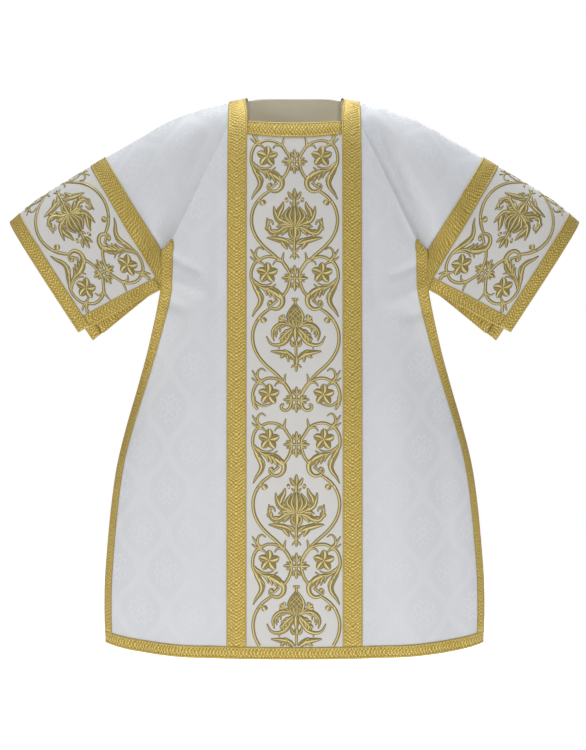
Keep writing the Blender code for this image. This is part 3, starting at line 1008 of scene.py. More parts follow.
def sew_sleeve(side, word, strength, finishes):
    """One sleeve, a single cloth over the arm, open along its lower edge."""
    net = sleeve_net(side, strength)
    grid = net.block(range(net.rows), range(net.columns), 0.0)
    flats = flat_sizes(grid, sleeve_column(side, SEAM_COLUMN))
    return sew(
        "sleeve_" + word + "_cloth", "sleeve_" + word,
        grid, flats, CLOTH, -1, finishes,
    )


def sew_cuff_orphrey(side, word, strength, finish):
    """The ivory panel round the cuff, from under the band to the cuff's edge."""
    net = sleeve_net(side, strength)
    ends = sorted(sleeve_column(side, place) for place in (BAND_INNER_COLUMN, CUFF_EDGE_COLUMN))
    grid = net.block(range(net.rows), range(ends[0], ends[1] + 1), ON_CLOTH)
    flats = flat_sizes(grid, len(grid[0]) // 2)
    return sew(
        "cuff_" + word + "_orphrey", "cuff_orphrey_" + word,
        grid, flats, ORPHREY_CLOTH, 1, [finish],
    )


def sew_band(side, word, strength, finish):
    """The galloon round the sleeve above the cuff panel."""
    net = sleeve_net(side, strength)
    ends = sorted(sleeve_column(side, place) for place in (BAND_INNER_COLUMN, BAND_OUTER_COLUMN))
    strip = Strip(net, *ends)
    made = flat_galloon(strip, range(net.rows), SLEEVE_BAND, lambda share: ON_ORPHREY)
    return sew_galloon("sleeve_" + word + "_band", "sleeve_band_" + word, strip, made, finish)


def sew_cuff(side, word, strength, finish):
    """The galloon folded round the cuff's edge."""
    net = sleeve_net(side, strength)
    ends = [sleeve_column(side, place) for place in (CUFF_TRIM_COLUMN, CUFF_EDGE_COLUMN)]
    strip = Strip(net, *ends)
    made = folded_galloon(strip, range(net.rows), EDGE_GALLOON, lambda row: ON_ORPHREY)
    return sew_galloon("cuff_" + word + "_galloon", "cuff_galloon_" + word, strip, made, finish)


def sew_underarm(face, side, word, strength, finish):
    """The galloon folded round a sleeve's lower edge, from the band to the cuff."""
    net = sleeve_net(side, strength)
    ends = sorted(sleeve_column(side, place) for place in (BAND_OUTER_COLUMN, CUFF_TRIM_COLUMN))
    last = net.rows - 1
    across = (SLEEVE_TRIM_CELLS, 0) if face == "front" else (last - SLEEVE_TRIM_CELLS, last)
    strip = Strip(net, *across, crosswise=True)
    columns = narrowed(range(ends[0], ends[1] + 1), UNDERARM_GAP, UNDERARM_GAP)
    made = folded_galloon(strip, columns, EDGE_GALLOON, lambda column: ON_ORPHREY)
    name = "underarm_" + face + "_" + word + "_galloon"
    node = "underarm_galloon_" + face + "_" + word
    return sew_galloon(name, node, strip, made, finish)


# ---------------------------------------------------------------------------
# Embroidery.  Designs are in millimetres from the centre of each cross, up +y, and
# give the left half of what is the same on both sides.
# ---------------------------------------------------------------------------

MM = 0.001
# Tones of the thread: dark outline thread, which also paints shade on strokes; mid gold; a painted
# highlight
OUTLINE_AND_SHADE, GOLD, PAINTED_HIGHLIGHT = 0, 1, 2
LAYERS = 24
FROND_LOBES = 3
BEAD_SPACING = 1.4
EMBROIDERY_ROOM = 1.5
OUTLINE_WIDTH = 1.25
OUTLINE_HEIGHT = 0.32
STITCH_SPACING = 2.6
SUNK_BASE = (GAP + ORPHREY_CLOTH) / MM - 0.02
LAYER_STEP = 0.010
TIP_WIDTH = 0.18
PADDING_LOW = 0.45
PADDING_WIDTH = 6.0

# How the width of each kind of stroke grows and tapers along it
CORD_START = 0.55
CORD_GROWTH = 6.0
HORN_START = 0.7
HORN_GROWTH = 3.0
HORN_TAPER = 0.75
PETAL_LEAN = 1.1
PETAL_ROUNDING = 0.7
LEAF_LEAN = 0.72
LEAF_ROUNDING = 0.85
DOME_START = 0.45
DOME_WAIST = 0.42
DOME_TAPER = 1.6

# Lobes of a toothed leaf: stretch of the leaf that they leave, their reach and turn,
# how they close towards the tip, and their bend; then the widths of lobe and body
FROND_STRETCH = (0.24, 0.72)
FROND_REACH = 0.95
FROND_TURN = 52.0
FROND_CLOSING = 14.0
FROND_KNEE = 0.5
FROND_BEND = 0.9
FROND_TIP = 0.55
FROND_LOBE_WIDTH = 0.56
FROND_BODY_WIDTH = 0.78

# Across a stroke: side, height; then the tone of each strip between those points
CORD_SECTION = ((-1.0, 0.0), (-0.62, 0.72), (0.0, 1.0), (0.62, 0.72), (1.0, 0.0))
# Cord tones: a painted highlight on the crown towards the light and painted shade, in the outline
# colour, on the far side
CORD_TONES = (GOLD, PAINTED_HIGHLIGHT, GOLD, OUTLINE_AND_SHADE)
LEAF_SECTION = ((-1.0, 0.0), (-0.52, 0.92), (0.0, 0.42), (0.52, 0.92), (1.0, 0.0))
# Leaf tones: a painted highlight on one slope, and a dark vein in the middle hollow that is partly
# painted shade
LEAF_TONES = (GOLD, PAINTED_HIGHLIGHT, OUTLINE_AND_SHADE, GOLD)
EDGE_SECTION = ((-1.0, 0.0), (-0.86, 1.0), (0.86, 1.0), (1.0, 0.0))
DOME_SECTION = (
    (-1.0, 0.0), (-0.92, 0.62), (-0.80, 0.62), (-0.70, 0.40), (0.0, 0.50), (0.70, 0.40),
    (0.80, 0.62), (0.92, 0.62), (1.0, 0.0),
)
# Dome tones: a painted highlight on one rim and painted shade on the outer side of the other, round
# a dark middle
DOME_TONES = (GOLD, PAINTED_HIGHLIGHT, OUTLINE_AND_SHADE, OUTLINE_AND_SHADE, OUTLINE_AND_SHADE, OUTLINE_AND_SHADE, GOLD, OUTLINE_AND_SHADE)

# Each row: kind, width, points from root to tip
SCROLL_TOP = (
    ("cord", 4.2, ((-26, -39), (-15, -23), (-9.8, -5), (-10, 9), (-15, 18), (-22, 29))),
)
SCROLL_ROOTS = (
    ("cord", 4.2, ((-28, 38), (-16.5, 23), (-10, 9.5))),
)
SCROLL = (
    ("cord", 3.8, ((-23, 31), (-32, 38), (-44, 42), (-57, 42), (-70, 36))),
    ("cord", 4.2, ((-69, 37), (-79, 29), (-85, 16), (-86, 2), (-83, -9), (-76, -20))),
    ("horn", 5.4, ((-19, 25), (-24, 33), (-23, 42), (-21, 51))),
    ("horn", 4.6, ((-21, 30), (-30, 34), (-38, 33), (-43, 26))),
    ("horn", 5.6, ((-68, 34), (-76, 42), (-82, 50), (-87, 58))),
    ("horn", 4.6, ((-70, 33), (-80, 37), (-88, 43))),
    ("horn", 4.8, ((-71, 34), (-77, 45), (-75, 56), (-68, 61), (-60, 56))),
    ("horn", 4.4, ((-74, 33), (-66, 31), (-58, 24))),
)
SCROLL_FOOT = (
    ("leaf", 9.4, (
        (-84, -4), (-78, -18), (-71, -31), (-67.5, -43), (-71, -54), (-79, -65), (-85, -77),
    )),
    ("horn", 4.6, ((-74, -25), (-65, -33), (-62, -42))),
    ("cord", 3.6, ((-83, -1), (-76, -11), (-66, -18), (-55, -23))),
    ("leaf", 6.4, ((-56, -21), (-50, -29), (-48, -39))),
    ("leaf", 5.8, ((-47, -26), (-41, -34), (-38, -43))),
    ("leaf", 5.0, ((-66, -16), (-58, -25), (-55, -35))),
    ("petal", 14.5, ((-61, -18), (-47, -24), (-35, -31), (-26, -42))),
    ("horn", 9.4, (
        (-30, -31), (-24.5, -41), (-26, -53), (-35, -61), (-46, -60), (-53, -53), (-51, -46),
        (-45, -45),
    )),
    ("bead", 6.4, ((-52, -46), (-49, -48.5), (-46, -51))),
    ("cord", 3.6, ((-47, -54), (-41, -49), (-34, -43))),
    ("horn", 4.0, ((-79, -6), (-68, -13), (-56, -14), (-45, -10))),
    ("horn", 4.2, ((-66, -18), (-54, -20), (-45, -18), (-37, -12))),
)
SCROLL_VINE = (
    ("cord", 4.4, (
        (-46, -59), (-56, -65), (-68, -75), (-79, -91), (-85, -112), (-83, -135), (-74, -155),
        (-60, -172), (-43, -187), (-28, -201),
    )),
    ("cord", 3.6, ((-78, -88), (-73, -81), (-66, -79))),
    ("bead", 10.4, ((-66, -79.5), (-62.5, -84), (-60, -88.5))),
)
SCROLL_CLOSE = (
    ("cord", 4.2, (
        (-10, 9), (-9.8, -5), (-13, -16), (-20, -21), (-28, -19), (-30, -12), (-24, -9),
    )),
    ("cord", 4.2, ((-84, 8), (-83, -6), (-84, -13))),
    ("horn", 4.4, ((-82, -4), (-68, -12), (-53, -10), (-44, -5))),
    ("cord", 4.2, ((-10, 9), (-15, 18), (-22, 29))),
)
FLOWER_CENTRE = (-54, 10)
FLOWER_TURNS = (0, 72, 144, 216, 288)
PETAL = ("petal", 13.6, ((0, 1.0), (0.6, 11), (0, 21.5)))
FLOWER_KNOT = 2.4
CROSS_ARM = (
    ("leaf", 7.4, ((0, 6), (0, 15), (0, 26))),
    ("horn", 4.6, ((0.6, 10), (5, 13), (7.5, 20))),
    ("horn", 4.6, ((-0.6, 10), (-5, 13), (-7.5, 20))),
    ("cord", 2.8, ((0, 0), (0, 8))),
)
CROSS_BAR = ("cord", 3.4, ((-11, 0), (0, 0), (11, 0)))

POMEGRANATE_MIDDLE = (
    ("cord", 5.0, ((0, -70), (0, -78), (0, -86))),
    ("leaf", 7.0, ((0, -70), (0, -60), (0, -50))),
    ("leaf", 9.0, ((0, -127), (0, -105), (0, -84))),
    ("cord", 4.2, ((0, -149), (0, -166), (0, -184))),
    ("petal", 12.5, ((0, -153), (0, -139), (0, -124))),
    ("leaf", 5.0, ((0, -181), (0, -187), (0, -193))),
)
POMEGRANATE = (
    ("leaf", 6.4, ((-3, -73), (-8, -66), (-13, -57))),
    ("bead", 7.8, ((-19, -75), (-16, -74), (-12, -73))),
    ("horn", 3.6, ((-3, -84), (-7, -81), (-9, -77))),
    ("horn", 7.0, ((-4, -126), (-20, -120), (-27, -111), (-22, -103))),
    ("leaf", 10.0, ((-10, -122), (-30, -115), (-38, -101), (-41, -86))),
    ("leaf", 10.6, ((-33, -109), (-30, -97), (-25, -88), (-22, -77))),
    ("leaf", 7.2, ((-4, -126), (-19, -106), (-9, -87))),
    ("leaf", 7.2, ((-2, -127), (-10.5, -106), (-3.5, -86))),
    ("leaf", 7.0, ((-10, -127), (-24, -124), (-36, -128))),
    ("frond", 12.5, ((1, -127), (-19, -130), (-32, -138), (-45, -139), (-53, -127), (-54, -109))),
    ("horn", 5.6, ((-54, -125), (-50, -115), (-44, -117), (-42, -124))),
    ("leaf", 6.4, ((-12, -130), (-19, -137), (-26, -145))),
    ("horn", 4.6, ((-3, -130), (-9, -134), (-12, -141))),
    ("leaf", 6.0, ((-2, -152), (-9, -142), (-7, -131))),
    ("leaf", 11.0, ((-8, -162), (-20, -156), (-36, -152), (-55, -149))),
    ("leaf", 8.2, ((-26, -156), (-20, -163), (-14, -173))),
    ("leaf", 6.6, ((-3, -163), (-9, -156), (-19, -151))),
    ("horn", 3.6, ((-1, -178), (-8, -170), (-13, -163))),
    ("horn", 4.2, ((0, -184), (-5, -185), (-9, -190))),
)
IRIS_MIDDLE = (
    ("cord", 3.4, ((0, -52), (0, -47), (0, -42))),
    ("bead", 5.0, ((0, -43), (0, -40.5), (0, -38))),
    ("cord", 2.0, ((-13, -84), (-3, -72), (8, -60))),
    ("cord", 2.0, ((-8, -88), (4, -76), (14, -69))),
    ("cord", 2.0, ((13, -84), (3, -72), (-8, -60))),
    ("cord", 2.0, ((8, -88), (-4, -76), (-14, -69))),
    ("cord", 2.0, ((-13, -76), (-4, -65), (4, -57))),
    ("cord", 2.0, ((13, -76), (4, -65), (-4, -57))),
    ("leaf", 6.8, ((0, -98), (0, -87), (0, -76))),
    ("leaf", 10.6, ((0, -96), (0, -110), (0, -126))),
    ("petal", 9.0, ((0, -137), (0, -130), (0, -121))),
    ("cord", 3.2, ((0, -132), (0, -144), (0, -156))),
    ("petal", 9.0, ((0, -173), (0, -163), (0, -152))),
    ("leaf", 4.6, ((0, -170), (0, -177), (0, -185))),
)
IRIS = (
    ("bead", 4.6, ((-6, -43), (-4, -41.5), (-2, -40))),
    ("leaf", 6.0, ((-2, -97), (-6, -88), (-7, -78))),
    ("leaf", 5.6, ((-5, -97), (-12, -90), (-14, -80))),
    ("cord", 3.2, ((-9, -92), (-16, -88), (-22, -83))),
    ("bead", 6.2, ((-24, -83), (-29, -84), (-34, -83))),
    ("bead", 6.2, ((-23, -82), (-28, -79), (-32, -75))),
    ("bead", 6.2, ((-22, -81), (-24, -76), (-25, -71))),
    ("leaf", 7.2, ((-9, -94), (-26, -90), (-40, -97), (-46, -109), (-43, -124))),
    ("horn", 4.2, ((-22, -93), (-30, -98), (-31, -107))),
    ("horn", 4.2, ((-30, -94), (-37, -101), (-36, -112))),
    ("horn", 4.2, ((-38, -99), (-41, -108), (-38, -117))),
    ("frond", 12.5, ((-5, -98), (-15, -107), (-24, -116), (-30, -127))),
    ("horn", 8.0, ((-14, -118), (-24, -128), (-38, -132), (-50, -128), (-58, -114))),
    ("leaf", 7.4, ((-5, -101), (-12, -114), (-23, -131))),
    ("horn", 4.0, ((-31, -128), (-33, -134), (-34, -140))),
    ("leaf", 5.4, ((-2, -135), (-8, -130), (-10, -121))),
    ("leaf", 10.5, ((-3, -161), (-14, -151), (-28, -147), (-50, -144))),
    ("leaf", 6.2, ((-12, -154), (-17, -147), (-25, -141))),
    ("leaf", 6.0, ((-24, -149), (-27, -154), (-32, -157))),
    ("leaf", 5.6, ((-17, -150), (-16, -157), (-15, -166))),
    ("horn", 4.2, ((-1, -172), (-6, -172), (-10, -177))),
)
IRIS_DOME = (34.0, ((0, -96), (0, -73), (0, -48)))

# Down a column: distance of each cross below the neck edge, how its scrolls run, the
# motif under it, and how much lower that motif hangs than in the design, in metres
COLUMN_PLAN = (
    (0.0856, "first", "pomegranate", 0.0050),
    (0.3200, "scroll", "iris", 0.0010),
    (0.5605, "close", None, 0.0),
    (0.6488, "first", "pomegranate", 0.0085),
    (0.8875, "scroll", "iris", 0.0),
)
CUFF_PLAN = (
    (0.0590, "first", "pomegranate", 0.0),
    (0.3240, "scroll", "iris", 0.0),
    (0.5850, "scroll", None, 0.0),
)

# How far the design drifts aside down a column, where that starts below the neck
# edge, and the length it takes, in metres
DRIFT = 0.0037
DRIFT_START = 0.26
DRIFT_LENGTH = 0.28

# How the design is scaled round a cuff, across and along
CUFF_ACROSS = 0.88
CUFF_ALONG = 1.12


def curve_through(points, spacing):
    """Evenly stepped places on a smooth curve through points, with unit tangents."""
    points = [Vector(point) for point in points]
    if len(points) == 2:
        points.insert(1, (points[0] + points[1]) * 0.5)
    ends = [points[0] * 2.0 - points[1]] + points + [points[-1] * 2.0 - points[-2]]
    places = []
    for before, start, stop, after in zip(ends, ends[1:], ends[2:], ends[3:]):
        steps = max(2, round((stop - start).length / spacing))
        for step in range(steps):
            share = step / steps
            square, cube = share * share, share ** 3
            place = (start * 2.0) + (stop - before) * share
            place += (before * 2.0 - start * 5.0 + stop * 4.0 - after) * square
            place += (start * 3.0 - before - stop * 3.0 + after) * cube
            places.append(place * 0.5)
    places.append(points[-1])
    ways = []
    for index in range(len(places)):
        step = places[min(index + 1, len(places) - 1)] - places[max(index - 1, 0)]
        ways.append(step.normalized())
    return places, ways


def stroke_width(kind, share):
    """Width of a stroke along its length, as a share of its greatest width."""
    if kind == "cord":
        return min(1.0, CORD_START + CORD_GROWTH * min(share, 1.0 - share))
    if kind == "horn":
        return (1.0 - share) ** HORN_TAPER * min(1.0, HORN_START + HORN_GROWTH * share)
    if kind == "petal":
        if share >= 1.0:
            return 0.0
        return math.sin(math.pi * share ** PETAL_LEAN) ** PETAL_ROUNDING
    if kind == "bead":
        return math.sqrt(max(1.0 - (2.0 * share - 1.0) ** 2, 0.0))
    if kind == "dome":
        if share < DOME_WAIST:
            return mix(DOME_START, 1.0, math.sin(share / DOME_WAIST * math.pi / 2.0))
        return 1.0 - ((share - DOME_WAIST) / (1.0 - DOME_WAIST)) ** DOME_TAPER
    return math.sin(math.pi * share ** LEAF_LEAN) ** LEAF_ROUNDING


class Needlework:
    """Padded strokes laid on a cloth and gathered into one mesh."""

    def __init__(self, place, limits, height):
        self.place = place
        self.limits = limits
        self.height = height
        self.points, self.flats, self.faces, self.tones = [], [], [], []
        self.layer = 0

    def loft(self, places, ways, widths, section, height, tones):
        """A closed body whose section follows a run of places."""
        base = SUNK_BASE + self.layer * LAYER_STEP
        size = len(section)
        first = len(self.points)
        walked = 0.0
        for index, (place, way, width) in enumerate(zip(places, ways, widths)):
            if index:
                walked += (place - places[index - 1]).length
            aside = Vector((-way.y, way.x)) * (width * 0.5)
            crown = height * min(1.0, PADDING_LOW + width / PADDING_WIDTH)
            for side, rise in section:
                spot = place + aside * side
                self.points.append(self.place(spot.x, spot.y, base + rise * crown))
                self.flats.append((side * width * 0.5 * MM, walked * MM))
        for ring in range(len(places) - 1):
            start = first + ring * size
            for strip in range(size):
                along_strip = (strip + 1) % size
                self.faces.append((
                    start + strip, start + size + strip,
                    start + size + along_strip, start + along_strip,
                ))
                self.tones.append(tones[strip] if strip < size - 1 else OUTLINE_AND_SHADE)
        last = first + (len(places) - 1) * size
        self.faces.append(tuple(first + step for step in range(size)))
        self.faces.append(tuple(last + step for step in reversed(range(size))))
        self.tones += [OUTLINE_AND_SHADE, OUTLINE_AND_SHADE]

    def stroke(self, kind, width, points, move):
        """One stroke of the design: a low outline and the padded thread on it."""
        if kind == "frond":
            self.frond(width, points, move)
            return
        spacing = BEAD_SPACING if kind == "bead" else STITCH_SPACING
        places, ways = curve_through([move(*point) for point in points], spacing)
        low, high = self.limits
        kept = [index for index, place in enumerate(places) if low < place.y < high]
        if len(kept) < 3:
            return
        count = len(places) - 1
        widths = [max(width * stroke_width(kind, index / count), TIP_WIDTH) for index in kept]
        places = [places[index] for index in kept]
        ways = [ways[index] for index in kept]
        outline = [each + 2.0 * OUTLINE_WIDTH for each in widths]
        self.loft(places, ways, outline, EDGE_SECTION, OUTLINE_HEIGHT, (OUTLINE_AND_SHADE,) * 3)
        if kind == "dome":
            self.loft(places, ways, widths, DOME_SECTION, self.height, DOME_TONES)
        elif kind in ("leaf", "petal"):
            self.loft(places, ways, widths, LEAF_SECTION, self.height, LEAF_TONES)
        else:
            self.loft(places, ways, widths, CORD_SECTION, self.height, CORD_TONES)
        self.layer = (self.layer + 1) % LAYERS

    def frond(self, width, points, move):
        """A toothed leaf: a body with lobes that leave it towards its tip."""
        places, ways = curve_through(points, STITCH_SPACING)
        count = len(places) - 1
        for lobe in range(FROND_LOBES):
            share = mix(*FROND_STRETCH, lobe / (FROND_LOBES - 1))
            index = round(share * count)
            reach = width * stroke_width("leaf", share) * FROND_REACH
            for side in (-1, 1):
                turn = side * math.radians(FROND_TURN - FROND_CLOSING * share)
                way = ways[index].copy()
                way.rotate(Matrix.Rotation(turn, 2))
                root = places[index]
                knee = root + way * (reach * FROND_KNEE)
                bent = (way + ways[index] * FROND_BEND).normalized()
                tip = knee + bent * (reach * FROND_TIP)
                lobe_points = [tuple(root), tuple(knee), tuple(tip)]
                self.stroke("leaf", width * FROND_LOBE_WIDTH, lobe_points, move)
        self.stroke("leaf", width * FROND_BODY_WIDTH, points, move)

    def design(self, rows, move):
        for kind, width, points in rows:
            self.stroke(kind, width, points, move)

    def knot(self, centre, radius, move):
        """A small raised dot."""
        x, y = centre
        self.stroke("bead", radius * 2.0, ((x, y + radius), (x, y), (x, y - radius)), move)

    def mesh(self, name, finishes):
        mesh = bpy.data.meshes.new(name)
        mesh.from_pydata(self.points, [], self.faces)
        mesh.polygons.foreach_set("material_index", self.tones)
        mesh.shade_smooth()
        uv_layer = mesh.uv_layers.new(name=UV_NAME)
        for loop, flat in zip(mesh.loops, uv_layer.data):
            flat.uv = self.flats[loop.vertex_index]
        for finish in finishes:
            mesh.materials.append(finish)
        mesh.update()
        return mesh


def embroider_group(work, cross_y, kind, motif, lower):
    """A cross with its scrolls and flowers, and the motif that hangs below it."""

    def both(rows, down=0.0):
        work.design(rows, lambda x, y: Vector((x, y + cross_y - down)))
        work.design(rows, lambda x, y: Vector((-x, y + cross_y - down)))

    def middle(rows, down=0.0):
        work.design(rows, lambda x, y: Vector((x, y + cross_y - down)))

    both(SCROLL)
    if kind == "close":
        both(SCROLL_CLOSE)
    else:
        both(SCROLL_TOP)
        both(SCROLL_FOOT)
        both(SCROLL_VINE)
    if kind != "first":
        both(SCROLL_ROOTS)
    for side in (-1, 1):
        centre = Vector((FLOWER_CENTRE[0] * -side, FLOWER_CENTRE[1] + cross_y))
        for turn in FLOWER_TURNS:
            spin = Matrix.Rotation(math.radians(turn * side), 2)

            def move(x, y, spin=spin, centre=centre):
                return spin @ Vector((x, y)) + centre

            work.stroke(*PETAL, move)
        work.knot((0, 0), FLOWER_KNOT, lambda x, y, centre=centre: Vector((x, y)) + centre)
    for quarter in range(4):
        spin = Matrix.Rotation(quarter * math.pi / 2.0, 2)
        work.design(CROSS_ARM, lambda x, y, spin=spin: spin @ Vector((x, y)) + Vector((0, cross_y)))
    middle((CROSS_BAR,))
    if motif == "pomegranate":
        both(POMEGRANATE, lower)
        middle(POMEGRANATE_MIDDLE, lower)
    if motif == "iris":
        middle((("dome",) + IRIS_DOME,), lower)
        both(IRIS, lower)
        middle(IRIS_MIDDLE, lower)


def walked_rows(net, rows, column):
    """Distance along a net's column at each of its rows."""
    table = [(0.0, rows[0])]
    for before, row in zip(rows, rows[1:]):
        gap = (net.lifted(row, column, 0.0) - net.lifted(before, column, 0.0)).length
        table.append((table[-1][0] + gap, row))
    return table


def read_between(keys, values, key):
    """The value at a key that lies between two of the keys."""
    index = min(max(bisect.bisect_right(keys, key) - 1, 0), len(keys) - 2)
    share = (key - keys[index]) / (keys[index + 1] - keys[index])
    return mix(values[index], values[index + 1], share)


def embroider_column(face, strength, height, finishes):
    """The figured design down the front or the back orphrey."""
    body = body_net(strength)
    neck = FRONT_NECK_DROP if face == "front" else BACK_NECK_DROP
    start = round(body_row(face, neck))
    if face == "front":
        rows = list(range(start, HEM_CELLS - 1, -1))
    else:
        rows = list(range(start, body.rows - HEM_CELLS))
    table = walked_rows(body, rows, MIDDLE)
    keys = [distance for distance, _row in table]
    numbers = [row for _distance, row in table]
    flip = 1.0 if face == "front" else -1.0
    per_mm = NECK_COLUMN / (NECK_HALF / MM)

    def place(x, y, lift):
        down = min(max(-y * MM, keys[0]), keys[-1])
        row = read_between(keys, numbers, down)
        drift = DRIFT / MM * smooth((down - DRIFT_START) / DRIFT_LENGTH)
        return body.lifted(row, MIDDLE + (x + drift) * per_mm * flip, lift * MM)

    low = -(keys[-1] / MM - EMBROIDERY_ROOM)
    high = -(NECK_GALLOON / MM + EMBROIDERY_ROOM)
    work = Needlework(place, (low, high), height / MM)
    for down, kind, motif, lower in COLUMN_PLAN:
        embroider_group(work, -down / MM, kind, motif, lower / MM)
    name = "embroidery_" + face
    mesh = work.mesh(name, finishes)
    return new_piece(name, mesh, [])


def embroider_cuff(side, word, strength, height, finishes):
    """The same design round a cuff, its head towards the front lower edge."""
    net = sleeve_net(side, strength)
    middle_column = (BAND_OUTER_COLUMN + CUFF_TRIM_COLUMN) / 2.0
    rows = list(range(SLEEVE_TRIM_CELLS, net.rows - SLEEVE_TRIM_CELLS))
    table = walked_rows(net, rows, sleeve_column(side, middle_column))
    keys = [distance for distance, _row in table]
    numbers = [row for _distance, row in table]
    ends = [sleeve_column(side, place) for place in (BAND_OUTER_COLUMN, CUFF_TRIM_COLUMN)]
    widths = [
        (net.lifted(row, ends[0], 0.0) - net.lifted(row, ends[1], 0.0)).length
        for row in rows
    ]
    cells = CUFF_TRIM_COLUMN - BAND_OUTER_COLUMN

    def place(x, y, lift):
        down = min(max(-y * MM * CUFF_ALONG, keys[0]), keys[-1])
        row = read_between(keys, numbers, down)
        width = read_between(keys, widths, down)
        column = middle_column - side * x * MM * CUFF_ACROSS * cells / width
        return net.lifted(row, sleeve_column(side, column), lift * MM)

    low = -(keys[-1] / MM / CUFF_ALONG - EMBROIDERY_ROOM)
    work = Needlework(place, (low, -EMBROIDERY_ROOM), height / MM)
    for down, kind, motif, lower in CUFF_PLAN:
        embroider_group(work, -down / MM / CUFF_ALONG, kind, motif, lower / MM)
    name = "embroidery_cuff_" + word
    mesh = work.mesh(name, finishes)
    return new_piece(name, mesh, [])


# ---------------------------------------------------------------------------
# Finishes
# ---------------------------------------------------------------------------

# Sockets of a colour mix
MIX_FIRST = 6
MIX_SECOND = 7
MIX_RESULT = 2

# White figure: its lines across a border, how wide they are and how far the border
# swings; how light the figure is seen straight on, and a painted sheen that lightens it more as the
# cloth turns away
DAMASK_LINES = (0.0, 0.0042, 0.0074)
DAMASK_LINE = 0.0011
DAMASK_SWING = 0.47
DAMASK_FIGURE_AND_SHEEN_TONE = 1.28
DAMASK_FACED = 0.20
DAMASK_PAINTED_SHEEN = 1.3
DAMASK_ROUGHNESS = 0.56
DAMASK_GLOSS = 0.22
DAMASK_RISE = 0.9
DAMASK_WEAVE = 0.35
SCALLOP = 0.0140
SCALLOP_RISE = 0.0016

# Outlines in the middle of each field: size, lobes, share of the size they swing by
DAMASK_FLOWERS = (
    (0.0170, 6.0, 0.26),
    (0.0085, 6.0, 0.20),
    (0.0290, 10.0, 0.13),
)
FLOWER_LINE = 1.3
VEIN_LINE = 0.8
VEIN_STEP = 2.4

# Cloudy shading of a cloth: how fine the clouds are, their detail, darkest and
# lightest shade
CLOUDS = {
    "damask": (5.0, 2.0, 0.975, 1.01),
    "plain": (9.0, 2.0, 0.94, 1.04),
    "orphrey": (14.0, 3.0, 0.96, 1.03),
}

# Relief of a finish: height in metres, strength
RELIEFS = {
    "damask": (0.00022, 0.7),
    "plain": (0.00020, 0.6),
    "orphrey": (0.00016, 0.6),
    "galloon": (0.00045, 0.8),
    "thread": (0.00018, 0.7),
}

# Roughness, sheen and metal of the cloths and threads
SHEEN_ROUGHNESS = 0.4
DAMASK_SHEEN = 0.25
ORPHREY_SHEEN = 0.2
PLAIN_SHEEN = 0.1
LINING_ROUGHNESS = 0.7
FACING_ROUGHNESS = 0.75
THREAD_ROUGHNESS = 0.38
GALLOON_METAL = 0.45
THREAD_METAL = 0.35
OUTLINE_METAL = 0.2
# Each stitch of the thread is painted lighter on its crest and darker in its hollow: painted
# highlight and painted shade
THREAD_PAINTED_SHADE_AND_HIGHLIGHT = (0.84, 1.12)

# Ribs, ropes and weaves: pitches in metres, slants, and how far each one shows
# The crests of the orphrey's ribs are painted lighter, as a painted highlight
RIB_SHARE = 0.35
RIB_PAINTED_HIGHLIGHT = 1.06
RIB_THREADS = 0.4
THREAD_PITCH = 0.0011
STITCH_PITCH = 0.0009
RIB_PITCH = 0.0016
ROPE_WIDTH = 0.0032
ROPE_PITCH = 0.0044
ROPE_SLANT = 0.9
LOZENGE_PITCH = 0.0068
WEAVE_SLANT = 0.75
WEAVE_DRIFT = 0.0110
WEAVE_NOISE = 70.0
WEAVE_FALLING = 0.35
WEAVE_THREADS = 0.3

# Painted glints on the metal thread: how fine, how sharp, how closely they follow the glinting
# crests of the weave, and where they start
PAINTED_GLINT_NOISE = 900.0
PAINTED_GLINT_SHARPNESS = 3.0
PAINTED_GLINT_GATHER = 0.9
PAINTED_GLINT_START = 0.25


